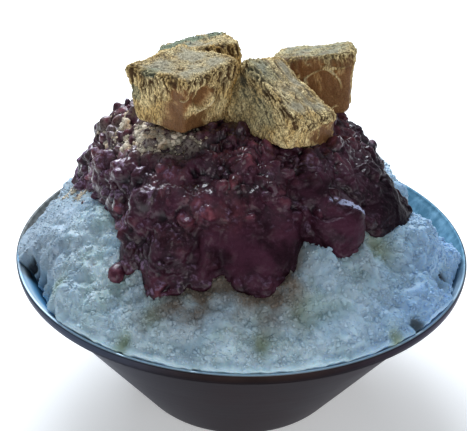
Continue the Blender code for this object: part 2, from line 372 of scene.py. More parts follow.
# %% Finish
class Finish:
    """A material whose shader is fed by wires."""

    def __init__(self, name, **constants):
        self.material = bpy.data.materials.new(name)
        self.material.use_nodes = True
        self.tree = self.material.node_tree
        self.shader = self.tree.nodes["Principled BSDF"]
        self.place = self.node("ShaderNodeTexCoord", {}, {}, "Object")
        for key, value in constants.items():
            self.shader.inputs[key.replace("_", " ")].default_value = value

    def node(self, kind, settings, sockets, output=0):
        """A node with its settings set first, then a value or a wire for each socket; returns one output."""
        made = self.tree.nodes.new(kind)
        for key, value in settings.items():
            setattr(made, key, value)
        for key, value in sockets.items():
            if isinstance(value, Wire):
                self.tree.links.new(made.inputs[key], value.socket)
            else:
                made.inputs[key].default_value = value
        return Wire(self, made.outputs[output])

    def feed(self, key, value):
        """Puts a wire into one of the shader's own sockets."""
        self.tree.links.new(self.shader.inputs[key], value.socket)

    def masks(self):
        """The four numbers of the piece's tint. The last one comes as alpha."""
        tint = {"attribute_name": "tint"}
        colour = self.node("ShaderNodeAttribute", tint, {}, "Color")
        first = [self.node("ShaderNodeSeparateColor", {}, {0: colour}, channel) for channel in range(3)]
        return [*first, self.node("ShaderNodeAttribute", tint, {}, "Alpha")]

    def along(self, axis):
        """The piece's own X, Y or Z in millimetres."""
        return self.node("ShaderNodeSeparateXYZ", {}, {0: self.place}, axis) / MM

    def noise(self, size, detail=2.0, stretch=(1.0, 1.0, 1.0), place=None):
        """Blender's noise, 0 to 1, with crests about size millimetres apart, drawn out by stretch."""
        sockets = {"Vector": place or self.place, "Scale": [1.0 / length for length in stretch]}
        drawn = self.node("ShaderNodeMapping", {"vector_type": "POINT"}, sockets)
        sockets = {"Vector": drawn, "Scale": 1.0 / (size * MM), "Detail": detail}
        return self.node("ShaderNodeTexNoise", {}, sockets, "Fac")

    def colour(self, share, low, high):
        """From the colour low to the colour high by a share from 0 to 1."""
        pair = [(*c, 1.0) if isinstance(c, tuple) else c for c in (low, high)]
        settings = {"data_type": "RGBA", "clamp_factor": True}
        return self.node("ShaderNodeMix", settings, {0: share, 6: pair[0], 7: pair[1]}, 2)

    def paint(self, base, *layers):
        """Colours laid over a base one after the other, each layer a share and a colour."""
        for share, colour in layers:
            base = self.colour(share, base, colour)
        return base

    def shade(self, colour, noise, low, high):
        """The colour multiplied by a tone that goes from low to high with a noise."""
        settings = {"data_type": "RGBA", "blend_type": "MULTIPLY"}
        return self.node("ShaderNodeMix", settings, {0: 1.0, 6: colour, 7: self.colour(noise, low, high)}, 2)

    def relief(self, height, depth):
        """Fine relief, depth in millimetres, from a wire of heights."""
        sockets = {"Height": height, "Distance": depth * MM, "Strength": 1.0}
        self.feed("Normal", self.node("ShaderNodeBump", {}, sockets))


print("a wire knows:", ", ".join(sorted(name for name in Wire.__dict__ if callable(getattr(Wire, name)))))

# %% [markdown]
# ## The bowl
#
# The bowl is spun from one sheet of steel: a small flat base, a straight cone and a lip rolled over to the
# outside. A turned thing needs only its profile, so the bowl is one line of (radius, height) points carried
# round the axis in 288 steps. A spun sheet is never perfectly true, so the wall gets a very slight wave.
# The points also note which side they are on, because the inside gets a painted reflection, blue and bright
# with the ice in it, and the outside a dark one. They also note where the lip's painted highlight lies.

# %% The bowl's profile
# radii of the floor's rings, heights of the cone's rings and of the last ones below the lip
FLOOR_RINGS = (14.0, 28.0)
CONE_RINGS = np.linspace(8.0, 62.0, 8)
NECK_RINGS = (64.4, 65.4)


def outer_wall(height):
    """Radius of the outer cone at a height above the table: base radius + slope * height."""
    return BASE_RADIUS + WALL_SLOPE * height


def inner_wall(height):
    """Radius of the inner cone: the outer one less the sheet's thickness, measured level."""
    return outer_wall(height) - WALL * math.hypot(1.0, WALL_SLOPE)


def arc(centre, radius, start, end, count):
    """Points on an arc in the (radius, height) plane, angles in degrees from outwards towards up."""
    angle = np.radians(np.linspace(start, end, count))
    return np.stack([centre[0] + radius * np.cos(angle), centre[1] + radius * np.sin(angle)], axis=-1)


def bowl_profile():
    """The inside from the floor's middle up, the lip, and the outside down to the middle of the base."""
    lean = -math.degrees(math.atan(WALL_SLOPE))
    corner = (outer_wall(CORNER_RADIUS) - CORNER_RADIUS / math.cos(math.radians(lean)), CORNER_RADIUS)
    tip = (RIM_RADIUS - MOUTH_RADIUS) / 2.0
    under = BOWL_HEIGHT - LIP_HEIGHT
    inside = [
        np.array([[ring, WALL] for ring in FLOOR_RINGS]),
        arc(corner, CORNER_RADIUS - WALL, -90.0, lean, 7),
        np.array([[inner_wall(height), height] for height in (*CONE_RINGS, *NECK_RINGS)]),
        arc((RIM_RADIUS - tip, BOWL_HEIGHT - tip), tip, 180.0, 90.0, 5),
    ]
    outside = [
        arc((RIM_RADIUS - tip, BOWL_HEIGHT - tip), tip, 72.0, 0.0, 5),
        np.array([[RIM_RADIUS - 0.1, under + 2.0], [RIM_RADIUS - LIP_STEP, under + 0.25]]),
        np.array([[outer_wall(under) + LIP_STEP, under - LIP_STEP], [outer_wall(under - 1.1), under - 1.1]]),
        np.array([[outer_wall(height - 2.0), height - 2.0] for height in CONE_RINGS[::-1]]),
        arc(corner, CORNER_RADIUS, lean, -90.0, 7),
        np.array([[ring, 0.0] for ring in FLOOR_RINGS[::-1]]),
    ]
    return np.concatenate(inside), np.concatenate(outside)

# %% Turn the bowl
BOWL_STEPS = 288
BOWL_WAVE = 0.12
# heights where the lip's painted highlight starts and where it is full, on the inside and on the roll
RIM_HIGHLIGHT_INSIDE = (BOWL_HEIGHT - 3.8, BOWL_HEIGHT - 1.8)
RIM_HIGHLIGHT_ROLL = (BOWL_HEIGHT - 0.3, BOWL_HEIGHT - 0.08)


def turn_bowl(finish):
    """The profile carried round: (r cos a, r sin a, z), with r waved slightly on the wall."""
    inside, outside = bowl_profile()
    profile = np.concatenate([inside, outside])[::-1]
    azimuth = once_round(BOWL_STEPS)
    radius, height = profile[:, 0:1], profile[:, 1:2]
    on_wall = smooth_step(height, 4.0, 30.0) * smooth_step(BOWL_HEIGHT - height, 4.0, 20.0)
    true = polar(radius, azimuth[None], height)
    rings = polar(radius + BOWL_WAVE * on_wall * ripple(true, 30.0, 3), azimuth[None], height)
    is_inside = (np.arange(len(profile)) >= len(outside)).astype(float)
    # tip: where the painted highlight lies, on the inside just under the lip and on the top of the roll
    tip = is_inside * smooth_step(profile[:, 1], *RIM_HIGHLIGHT_INSIDE)
    tip = np.maximum(tip, smooth_step(profile[:, 1], *RIM_HIGHLIGHT_ROLL))
    columns = np.ones(BOWL_STEPS)
    masks = [np.append(np.outer(row, columns).ravel(), (row[0], row[-1])) for row in (is_inside, tip)]
    points = shell_points(rings, (0.0, 0.0, 0.0), (0.0, 0.0, WALL))
    faces = [block[:, ::-1] for block in shell_faces(len(profile), BOWL_STEPS)]
    return make_piece("steel_bowl", points, faces, finish, tints(*masks))

# %% [markdown]
# ### Steel
#
# Dark spun steel: metallic, with faint turning lines round the axis and cloudy wiping marks. A painted
# reflection of the room tints it: a brownish cast in front and a bluish one at the sides. Inside, the cold
# wall is misted over near the ice, which makes it paler, bluer and duller, and its colour is a painted
# reflection, grey at the back left and teal-blue elsewhere, with a painted lit strip of bright blue at the
# left front. Only at the left is it painted near-black as shade, where it shows through a gap in the ice.
# The rolled lip has a painted highlight along its top, strongest in front.

# %% The steel finish
def steel_finish():
    finish = Finish("spun_steel", Specular_Tint=(0.62, 0.62, 0.66, 1.0))
    inside, tip = finish.masks()[:2]
    sideways, backwards = finish.along(0), finish.along(1)
    left, forwards = sideways * -1.0, backwards * -1.0
    radius = (sideways ** 2.0 + backwards ** 2.0) ** 0.5
    cloud = finish.noise(22.0, 3.0)
    turned = finish.node("ShaderNodeCombineXYZ", {}, {0: radius * MM, 2: finish.along(2) * MM})
    lines = finish.noise(0.55, 2.0, place=turned)
    # painted reflections of the room on the outside: brownish in front, bluish at the left, violet at the
    # right
    brown, blue, violet = (0.030, 0.020, 0.019), (0.036, 0.046, 0.066), (0.032, 0.027, 0.040)
    outside = finish.paint(brown, (left.step(5.0, 60.0), blue), (sideways.step(15.0, 75.0), violet))
    outside = finish.shade(outside, cloud.step(0.3, 0.7), (0.75, 0.75, 0.75), (1.25, 1.2, 1.2))
    mist = finish.noise(3.2, 4.0, stretch=(1.0, 1.0, 1.6)).step(0.35, 0.7)
    # painted reflection on the inside wall, mottled by the mist: grey at the back left, teal-blue elsewhere
    grey = finish.colour(mist, (0.11, 0.115, 0.11), (0.23, 0.24, 0.235))
    teal = finish.colour(mist, (0.06, 0.18, 0.27), (0.15, 0.32, 0.45))
    wall = finish.colour((backwards - 0.6 * sideways).step(25.0, 60.0), teal, grey)
    # a painted lit strip of bright blue on the wall at the left front
    wall = finish.colour(left.step(40.0, 60.0) * forwards.step(8.0, 20.0), wall, (0.20, 0.55, 0.90))
    # painted shade: near-black where the wall shows through a gap in the ice at the left
    gap = ((sideways + 84.0) ** 2.0 + (forwards - 25.0) ** 2.0) ** 0.5
    wall = finish.colour(gap.step(2.5, 6.5), (0.010, 0.014, 0.022), wall)
    # the inside's painted reflection over the outside's, then the painted highlight on the lip, in front only
    base = finish.paint(outside, (inside, wall), (tip * forwards.step(0.0, 50.0), (0.55, 0.70, 0.82)))
    finish.feed("Base Color", base)
    finish.feed("Metallic", 1.0 - 0.75 * inside)
    finish.feed("Roughness", 0.26 + 0.12 * cloud + 0.1 * lines + 0.3 * inside)
    finish.relief(lines + 0.5 * cloud, 0.02)
    return finish.material


serve(turn_bowl(steel_finish()), "steel", "bowl")

# %% [markdown]
# ## The shaved ice
#
# Shaved ice is a heap of thin flakes that stick together in clumps, like fresh snow. From a step away it
# looks like a cauliflower: rounded clumps of every size with creases between them. The heap is made in
# three layers. A closed shell carries the clumps down to about a millimetre, crumbs stand on it, and
# thousands of loose flakes break up its surface. A single noisy shell would look like plaster, and flakes
# alone would need millions.

# %% The heap's smooth form
def bump_sum(azimuth, bumps):
    """Adds a bell, height * exp(-(away / half width)^2), for each (direction, height, half width)."""
    total = np.zeros_like(azimuth)
    for direction, height, half_width in bumps:
        away = (np.degrees(azimuth) - direction + 180.0) % 360.0 - 180.0
        total += height * np.exp(-((away / half_width) ** 2))
    return total


def ice_edge(azimuth):
    """Radius where the heap's top ends: at the wall in front, short of it at the sides and back."""
    return MOUTH_RADIUS - 2.0 * GAP - bump_sum(azimuth, ICE_HOLLOWS)


def bean_edge(azimuth):
    """Radius that the beans reach: 58 mm and the lobes."""
    return BEAN_REACH + bump_sum(azimuth, BEAN_LOBES)


def ice_height(radius, azimuth):
    """Height above the rim: the lower of a paraboloid, 42 (1 - (r / mouth)^2), and the bank at the edge."""
    dome = ICE_CROWN * (1.0 - (radius / MOUTH_RADIUS) ** 2)
    return np.minimum(dome, ICE_BANK_SLOPE * (ice_edge(azimuth) - radius))


def on_ice(radius, azimuth, lift=0.0):
    """Points on the smooth heap, or lifted above it."""
    return polar(radius, azimuth, BOWL_HEIGHT + ice_height(radius, azimuth) + lift)


def ice_foot(azimuth):
    """Radius where the bank meets the wall below the rim."""
    short = MOUTH_RADIUS - GAP - ice_edge(azimuth)
    return ice_edge(azimuth) + short / (1.0 + ICE_BANK_SLOPE * WALL_SLOPE)

# %% [markdown]
# Clumps come from cobbles at three sizes on top of each other, with three fine ripples over them. The
# points are first pushed about by a ripple, so that the cells don't look regular. A few mounds and pits are
# set where the heap has them. Some pits have a darker greenish tint at the bottom, and those that are gaps
# at the wall are painted near-black as shade. Where beans have bled syrup into the ice, it is brown. At the
# right back the ice has been scooped away.

# %% Clumps, pits and stains
# the pushes and the wide swell: size, height and seed; clumps: size, height and how much painted shade their
# creases get
ICE_PUSHES = ((8.0, 1.4, 11), (2.7, 0.5, 33))
ICE_SWELL = (24.0, 1.2, 14)
ICE_CLUMPS = ((21.0, 5.5, 0.3), (11.0, 4.8, 0.4), (6.0, 2.9, 0.3))
# fine ripples: size, height and seed
ICE_FUZZ = ((3.4, 0.7, 15), (1.9, 0.35, 16), (1.1, 0.2, 17))
# the low place at the left back as azimuth, depth and half width; the scoop as middle, reaches and depth
ICE_LOW_SIDE = ((168.0, 3.8, 11.0),)
ICE_SCOOP = ((76.0, 9.0), (12.0, 15.0), 11.0)
# mounds: x, y, reach and height
ICE_MOUNDS = (
    (52.5, -68.0, 6.0, 3.5),
    (-64.5, -55.0, 7.0, 3.0),
    (-52.0, -65.0, 7.0, 2.5),
    (-28.0, -76.0, 9.0, 2.5),
    (-4.0, -76.0, 8.0, 2.0),
    (35.0, -70.0, 7.0, 2.5),
    (43.0, -46.0, 4.0, 3.0),
    (66.0, -24.0, 9.0, 3.5),
    (19.0, -68.0, 6.0, 2.0),
    (27.0, -54.0, 5.0, 3.0),
    (68.0, -48.0, 7.0, 2.5),
    (62.0, 4.0, 6.0, 4.0),
    (-60.0, -30.0, 10.0, 2.5),
    (64.0, 1.0, 4.0, 2.0),
)
# pits: x, y, reach, depth, and a tinge from 1, a darker greenish tint, to -1, painted near-black shade of a
# gap
ICE_PITS = (
    (74.5, -37.0, 3.2, 5.0, 0.0),
    (77.0, -31.5, 2.3, 5.0, -1.0),
    (-82.5, -25.0, 2.6, 6.0, -1.0),
    (-79.5, -29.5, 2.8, 7.0, -1.0),
    (-75.0, -35.5, 2.8, 6.0, -0.6),
    (-71.5, -44.0, 3.4, 5.0, 0.1),
    (-39.2, -76.5, 3.0, 2.6, 1.0),
    (-28.5, -72.5, 3.4, 1.6, 0.8),
    (7.5, -81.0, 3.0, 2.6, 1.0),
    (20.3, -70.4, 4.5, 1.6, 0.7),
    (54.0, -69.0, 3.2, 3.2, 1.0),
    (49.5, -38.8, 6.0, 2.0, 1.0),
    (-64.0, -50.0, 3.0, 2.2, 0.8),
    (62.5, -60.5, 2.6, 3.5, -0.8),
)
# stains: azimuth, strength and half width, and how far they reach from the beans
SYRUP_STAINS = ((-101.0, 1.25, 16.0), (-76.0, 0.95, 12.0), (-42.0, 0.4, 9.0))
STAIN_REACH = 10.5
# where the ice has melted smooth, and how far the ice leans over the lip in front
MELT_SMOOTH = ((-70.0, -6.0), 27.0)
ICE_OVERHANG = 1.1

# %% [markdown]
# A clump is a cell of the cobbles with a smooth cap on it, and each has a little height of its own. Where
# two cells meet there is a crease, which the finish darkens with painted shade. At the left the ice has
# begun to melt, and its clumps are lower.

# %% Clumps and creases
def melt_calm(points):
    """1 where the ice at the left has melted smooth, falling to 0 round it as a bell."""
    return bell(points[..., :2], *MELT_SMOOTH)


def ice_clumps(smooth, calm):
    """Height of the clumps and the painted shade of the creases between them.

    Formula: for each size, height * (cap - 0.76 + the clump's own height), where the cap is a smooth step of
    1 - (distance to the nearest middle)^2."""
    pushed = smooth + sum(far * three_ripples(smooth, size, seed) for size, far, seed in ICE_PUSHES)
    size, tall, seed = ICE_SWELL
    rise = tall * ripple(smooth, size, seed) - 0.4
    crease_shade = np.zeros(rise.shape)
    for order, (size, tall, dark) in enumerate(ICE_CLUMPS):
        first, second, owner = cobbles(pushed, size, 20 + order)
        edge = second - first
        first = first - 0.12 * np.exp(-((edge / 0.2) ** 2))
        cap = smooth_step(np.clip(1.0 - (first / 1.05) ** 2, 0.0, 1.0), -0.4, 1.0)
        own_height = 0.7 * (owner - 0.5) * smooth_step(edge, 0.0, 0.5)
        rise = rise + tall * (cap - 0.76 + own_height) * (1.0 - 0.5 * calm)
        # the painted shade where this cell meets the next
        crease_shade = crease_shade + dark * smooth_step(first, 0.35, 1.0)
    return rise, crease_shade

# %% [markdown]
# The heap's surface is one function of radius and azimuth. The shell asks it for the points of its grid,
# and later the crumbs and flakes ask it where they lie, so they always sit on the ice.

# %% The finished surface of the ice
def ice_skin(radius, azimuth):
    """Points on the finished heap and four masks, 0 to 1: painted shade of creases, stain, greenish tint and
    1 - painted shade of a gap.

    Formula: the smooth form, moved along its normal by the clumps and a bell for each mound, less one for
    each pit and for the scoop. All of this fades at the wall and under the beans."""
    smooth = on_ice(radius, azimuth)
    lean = 2.0 * ICE_CROWN * radius / MOUTH_RADIUS**2
    normal = polar(lean, azimuth, 1.0) / np.hypot(lean, 1.0)[..., None]
    level, calm = smooth[..., :2], melt_calm(smooth)
    fuzz = sum(tall * ripple(smooth, size, seed) for size, tall, seed in ICE_FUZZ)
    rise, crease_shade = ice_clumps(smooth, calm)
    for mound_x, mound_y, reach, tall in ICE_MOUNDS:
        away = np.linalg.norm(level - (mound_x, mound_y), axis=-1) / reach
        rise = rise + tall * np.exp(-(away**3))
    green, dark = np.zeros_like(rise), np.zeros_like(rise)
    near = smooth_step(radius, MOUTH_RADIUS - 7.0, MOUTH_RADIUS - 2.0)
    rise = rise * (1.0 - near) + (0.2 + 0.6 * np.abs(rise)) * near
    frayed = 0.3 * ripple(smooth, 2.6, 36)
    for pit_x, pit_y, reach, depth, tinge in ICE_PITS:
        pit = bell(level, (pit_x, pit_y), reach)
        rise = rise - depth * pit
        crease_shade = np.maximum(crease_shade, pit)
        green = np.maximum(green, tinge * pit)
        # dark: where the finish paints a gap at the wall near-black as shade
        dark = np.maximum(dark, -tinge * smooth_step(pit + frayed, 0.3, 0.8))
    beyond = radius - bean_edge(azimuth)
    room = smooth_step(inner_wall(BOWL_HEIGHT) + 1.0 - radius, 0.0, 5.0) * 0.7 + 0.3
    back_left = bump_sum(azimuth, ICE_LOW_SIDE) * smooth_step(radius, 66.0, 84.0)
    scoop_middle, scoop_reach, scoop_depth = ICE_SCOOP
    scoop = scoop_depth * bell(level, scoop_middle, scoop_reach)
    rise = (rise * room - back_left - scoop) * smooth_step(beyond, -5.0, 3.5)
    rise = rise + fuzz * (1.0 - 0.6 * calm) * smooth_step(beyond, -2.0, 2.0)
    full = smooth_step(ice_edge(azimuth), MOUTH_RADIUS - 2.0, MOUTH_RADIUS - 1.0)
    brim = full * smooth_step(radius, MOUTH_RADIUS - 2.5, MOUTH_RADIUS - 0.8)
    points = smooth + normal * (rise + 0.6 * brim)[..., None] + polar(ICE_OVERHANG * brim, azimuth, 0.0)
    stain = bump_sum(azimuth, SYRUP_STAINS) * np.exp(-(np.clip(beyond, 0.0, None) / STAIN_REACH) ** 2)
    stain = stain * (0.4 + 0.6 * smooth_step(ripple(smooth, 7.0, 31), -0.9, 0.3))
    # a darker greenish tint in some of the creases too
    green = np.maximum(green, 0.5 * smooth_step(ripple(smooth, 15.0, 32), 0.25, 0.9) * crease_shade)
    return inside_bowl(points), tints(np.clip(crease_shade, 0.0, 1.0), np.clip(stain, 0.0, 1.0), green, 1.0 - dark)


def inside_bowl(points):
    """Draws in any point that would go through the wall: radius at most the inner wall's, less a gap.

    Above the lip the ice may lie over its inner edge."""
    radius = np.hypot(points[..., 0], points[..., 1])
    over = ICE_OVERHANG * smooth_step(points[..., 2], BOWL_HEIGHT + 0.1, BOWL_HEIGHT + 0.5)
    most = inner_wall(np.minimum(points[..., 2], BOWL_HEIGHT)) - GAP + over
    share = np.minimum(1.0, most / np.maximum(radius, 1.0))
    return points * np.stack([share, share, np.ones_like(share)], axis=-1)

# %% [markdown]
# The shell's rings are spread by what shows: two rings under the beans, nearly all of them over the ring
# of ice that is seen, and a few down the wall and across the floor to close it. The edge along the wall is
# ragged, because flakes cling to the steel there.

# %% Build the heap
ICE_COLUMNS = 912
ICE_ROWS = 96
# the seen ice starts this far under the beans' edge; rings nearer the axis, as shares of that radius
ICE_UNDER_BEANS = 11.0
ICE_HIDDEN_RINGS = (0.35, 0.7)
# rings down the wall, as shares of the way to the floor
ICE_WALL_RINGS = (0.25, 0.6, 0.93)


def build_heap(finish):
    """The shell over the ice, down the inside of the wall and across the floor."""
    azimuth = once_round(ICE_COLUMNS)
    start = bean_edge(azimuth) - ICE_UNDER_BEANS
    level = polar(80.0, azimuth, 0.0)
    ragged = np.abs(ripple(level, 2.2, 41)) + 1.3 * np.abs(ripple(level, 7.0, 42))
    end = ice_foot(azimuth) - ragged * np.clip(MOUTH_RADIUS - ice_edge(azimuth) - 0.5, 0.15, 1.0)
    share = np.linspace(0.0, 1.0, ICE_ROWS)[:, None]
    seen, tint = ice_skin(start + (end - start) * share, np.broadcast_to(azimuth, (ICE_ROWS, ICE_COLUMNS)))
    under = [on_ice(start * part, azimuth) for part in ICE_HIDDEN_RINGS]
    low = seen[-1, :, 2]
    down = []
    for part in ICE_WALL_RINGS:
        height = low + (WALL + GAP + CORNER_RADIUS / 2.0 - low) * part
        down.append(polar(inner_wall(height) - GAP, azimuth, height))
    floor = polar(inner_wall(WALL) - CORNER_RADIUS, azimuth, WALL + GAP)
    rings = np.concatenate([np.stack(under), seen, np.stack(down + [floor])])
    plain = np.tile([0.0, 0.0, 0.0, 1.0], (ICE_COLUMNS, 1))
    before, after = (np.tile(plain, (count, 1)) for count in (len(under), len(down) + 1))
    colours = np.concatenate([before, tint, after, plain[:2]])
    points = shell_points(rings, (0.0, 0.0, BOWL_HEIGHT + ICE_CROWN), (0.0, 0.0, WALL + GAP))
    return make_piece("shaved_ice_heap", points, shell_faces(len(rings), ICE_COLUMNS), finish, colours)

# %% [markdown]
# ### Ice
#
# Fine ice scatters light like snow, nearly white on top. Its colour drifts between grey-green and grey-blue,
# with paler and greyer clumps, and light and shade are painted over it: painted shade at the left, a painted
# lit band along the rim in front, painted bluish shade at the right and along its lower edge there, and a
# paler back. The mesh's tint says where the creases, the syrup, the greenish tint and the gaps at the wall
# are, and the creases and gaps get painted shade. Noise on the object's own coordinates adds the small
# changes between flakes. A little scattering under the surface softens the shadows.

# %% The ice finish
def ice_finish(name, glow):
    finish = Finish(name, Subsurface_Weight=glow, Subsurface_Radius=(0.8, 1.1, 1.4), Subsurface_Scale=0.002)
    crease_shade, stain, green, clear_of_gap_shade = finish.masks()
    across, forwards = finish.along(0), finish.along(1) * -1.0
    radius = (across ** 2.0 + forwards ** 2.0) ** 0.5
    cloud, drift = finish.noise(7.0, 3.0), finish.noise(12.0, 3.0)
    grain = finish.noise(0.9, 3.0)
    # rim: where the painted lit band along the rim in front goes
    rim = radius.step(78.0, 88.0) * forwards.step(10.0, 50.0)
    # pale and grey clumps, painted shade at the left, a painted lit band along the rim, painted bluish shade
    # at the right and its lower edge, the back, the grain, then what the mesh's tint marks: painted shade in
    # creases, greenish tint, syrup and painted shade in gaps
    ice_colour_and_painted_light = finish.paint(
        finish.colour(drift.step(0.38, 0.62), (0.44, 0.60, 0.60), (0.44, 0.62, 0.77)),
        (cloud.step(0.42, 0.62) * 0.75, (0.68, 0.82, 0.91)),
        ((1.0 - cloud).step(0.52, 0.68) * 0.45, (0.36, 0.50, 0.58)),
        ((across * -1.0).step(45.0, 80.0) * 0.85, (0.25, 0.31, 0.40)),
        (rim * (0.1 + 0.8 * cloud), (0.60, 0.80, 0.93)),
        (across.step(18.0, 78.0) * 0.95, (0.31, 0.50, 0.74)),
        (across.step(30.0, 70.0) * radius.step(68.0, 86.0) * 0.6, (0.29, 0.52, 0.86)),
        ((forwards * -1.0).step(0.0, 45.0) * 0.7, (0.66, 0.76, 0.83)),
        ((1.0 - grain).step(0.42, 0.7) * 0.4, (0.42, 0.57, 0.66)),
        # painted shade in the creases
        (crease_shade * (0.6 + 0.5 * cloud), (0.27, 0.40, 0.46)),
        (green * 0.6, (0.34, 0.43, 0.22)),
        (stain * (0.75 + 0.6 * grain), (0.165, 0.132, 0.102)),
        # painted shade: near-black in the gaps at the wall
        (1.0 - clear_of_gap_shade, (0.010, 0.016, 0.028)),
    )
    finish.feed("Base Color", ice_colour_and_painted_light)
    finish.feed("Roughness", 0.42 + 0.25 * grain)
    finish.relief(grain + 0.6 * finish.noise(0.35, 1.0), 0.18)
    return finish.material


snow, loose_snow = ice_finish("shaved_ice", 0.85), ice_finish("loose_ice", 0.0)
serve(build_heap(snow), "shaved_ice", "shaved_ice")

# %% [markdown]
# ### Crumbs and flakes
#
# Crumbs are bits that have rolled loose, 0.7 to 2.4 mm across. Flakes are the finest shavings, up to
# 1.4 mm. Both need a place and a direction on the finished heap, so `strew_ice` picks random places
# spread evenly by area, asks `ice_skin` for the surface there, and gets the normal from two short steps
# along it.

# %% Places on the ice
def strew_ice(count, seed):
    """Random places on the visible ice: points, normals and tints.

    Formula: the radius is the square root of a random number between the squares of its two ends, so that
    places are even over the area. The normal is the cross product of two short steps."""
    rng = np.random.default_rng(seed)
    azimuth = rng.uniform(0.0, 2.0 * math.pi, count)
    start, end = bean_edge(azimuth) - 2.0, ice_foot(azimuth) - 0.8
    radius = np.sqrt(start**2 + (end**2 - start**2) * rng.uniform(0.0, 1.0, count))
    points, tint = ice_skin(radius, azimuth)
    outwards = ice_skin(radius + 0.4, azimuth)[0] - points
    sideways = ice_skin(radius, azimuth + 0.4 / radius)[0] - points
    normals = np.cross(outwards, sideways)
    normals /= np.maximum(np.linalg.norm(normals, axis=1, keepdims=True), 1e-9)
    return points, normals, tint, rng


def ragged_balls(unit, count, roughness, rng):
    """Count copies of the unit ball, every point moved in or out by its own random share."""
    return unit[None] * (1.0 + roughness * rng.normal(size=(count, len(unit), 1)))


def strew_pieces(name, finish, count, seed, grid, sizes, roughness, rise, tilt):
    """Count ragged balls on the ice; sizes are (smallest, largest, flatness), rise lifts their middles."""
    points, normals, tint, rng = strew_ice(count, seed)
    unit, faces = ball(*grid)
    smallest, largest, flatness = sizes
    across = smallest + (largest - smallest) * rng.uniform(0.0, 1.0, count) ** 2.5
    across = across * (1.0 - 0.5 * melt_calm(points))
    wide, thick = rng.uniform(0.6, 1.0, count), flatness * rng.uniform(0.7, 1.3, count)
    shape = across[:, None] * np.stack([np.ones(count), wide, thick], axis=1)
    axes = axes_on(normals, shape, tilt, rng)
    middles = inside_bowl(points + normals * (rise * shape[:, 2:]))
    placed = inside_bowl(place_balls(ragged_balls(unit, count, roughness, rng), middles, axes))
    # the loose pieces take only a third of the painted shade of the creases under them
    colours = np.repeat(tint * [0.3, 1.0, 1.0, 1.0], len(unit), axis=0)
    return make_piece(name, placed, repeat_faces(faces, count, len(unit)), finish, colours)

# %% Strew them
crumb_look = {"grid": (7, 3), "sizes": (0.7, 2.4, 0.75), "roughness": 0.22, "rise": -0.1, "tilt": 0.5}
flake_look = {"grid": (6, 2), "sizes": (0.5, 1.4, 0.6), "roughness": 0.2, "rise": 0.1, "tilt": 0.6}
for name, count, seed, look in (("ice_crumbs", 4500, 51, crumb_look), ("ice_flakes", 8000, 52, flake_look)):
    serve(strew_pieces(name, loose_snow, count, seed, **look), "shaved_ice")

# %% [markdown]
# ## The stewed red beans
#
# The topping is adzuki beans stewed in syrup until some keep their shape, some burst and the rest is paste.
# It holds together as one glossy heap with lobes that run down over the ice. It is made as a shell of paste
# with the beans' swellings in it, and about a thousand beans set into the shell at random depths.

# %% The topping's smooth form
def bean_form(share, azimuth):
    """Points on the smooth topping at a share of the way out, 0 to 1.

    Formula: radius = 58 * share + lobes * share^3; height = foot + (58 - foot) * (1 - share^fullness)^0.75,
    where the fullness of the outline is 4 - 1.6 cos(azimuth)."""
    radius = BEAN_REACH * share + bump_sum(azimuth, BEAN_LOBES) * share**BEAN_LOBE_FADE
    foot = ice_height(bean_edge(azimuth), azimuth) + BEAN_LIFT
    fullness = BEAN_FULLNESS[0] - BEAN_FULLNESS[1] * np.cos(azimuth)
    dome = foot + (BEAN_CROWN - foot) * (1.0 - np.clip(share, 0.0, 1.0) ** fullness) ** BEAN_EDGE_ROUND
    return polar(radius, azimuth, BOWL_HEIGHT + dome)


def bean_surface(share, azimuth):
    """Points on the smooth topping and its outward normals, which come from two short steps inside it."""
    inner = np.clip(share, 0.02, 0.985)
    here = bean_form(inner, azimuth)
    normal = np.cross(bean_form(inner + 0.01, azimuth) - here, bean_form(inner, azimuth + 0.01) - here)
    return bean_form(share, azimuth), normal / np.linalg.norm(normal, axis=-1, keepdims=True)

# %% [markdown]
# Low in front and at the right the syrup has settled over the beans. The paste is smooth and dull there, but
# for one ridge that is still wet: it keeps its gloss and has a painted glint.

# %% Calm paste and its wet ridge
# where the paste is smooth: middle and reach
CALM_SPOTS = (
    ((8.0, -60.0, 97.0), (38.0, 20.0, 14.0)),
    ((58.0, -22.0, 95.0), (17.0, 17.0, 14.0)),
    ((36.0, -44.0, 98.0), (15.0, 15.0, 10.0)),
    ((24.0, -38.0, 110.0), (13.0, 9.0, 7.0)),
)


def calm_paste(points):
    """1 in the smooth dark paste low in front and at the right, falling to 0 round each as a bell."""
    return bells(points, CALM_SPOTS)


# the wet ridge within the calm paste, which keeps its gloss and has a painted glint, and its reach
WET_RIDGE = ((31.0, -41.4, 108.2), (34.6, -40.4, 105.6), (37.4, -39.8, 102.6), (39.8, -39.4, 98.6))
WET_REACH = 1.5


def wet_ridge(points):
    """1 along the wet ridge, falling to 0 beside it: a bell of the distance to its line's nearest point."""
    line, steps = np.array(WET_RIDGE), np.linspace(0.0, len(WET_RIDGE) - 1.0, 25)
    path = np.stack([np.interp(steps, np.arange(len(line)), line[:, axis]) for axis in range(3)], axis=-1)
    nearest = np.min([np.linalg.norm(points - spot, axis=-1) for spot in path], axis=0)
    return np.exp(-((nearest / WET_REACH) ** 2))


def dull_paste(points):
    """The calm paste less its wet ridge: where the finish has no gloss."""
    return calm_paste(points) * (1.0 - wet_ridge(points))

# %% [markdown]
# Soybean powder has fallen on the beans below the left cake. It greys the paste there, and later its grains
# are strewn on the same spots.

# %% Where powder lies on the beans
# middle, reach and strength of each spot
POWDER_SPOTS = (
    ((-55.0, 3.0), 5.0, 0.9),
    ((-47.0, -7.0), 6.0, 1.0),
    ((-40.0, -15.0), 6.0, 1.0),
    ((-33.0, -22.0), 6.0, 1.0),
    ((-26.0, -28.0), 5.5, 1.0),
    ((-18.0, -31.0), 4.0, 0.8),
    ((-57.0, -8.0), 4.0, 0.5),
)


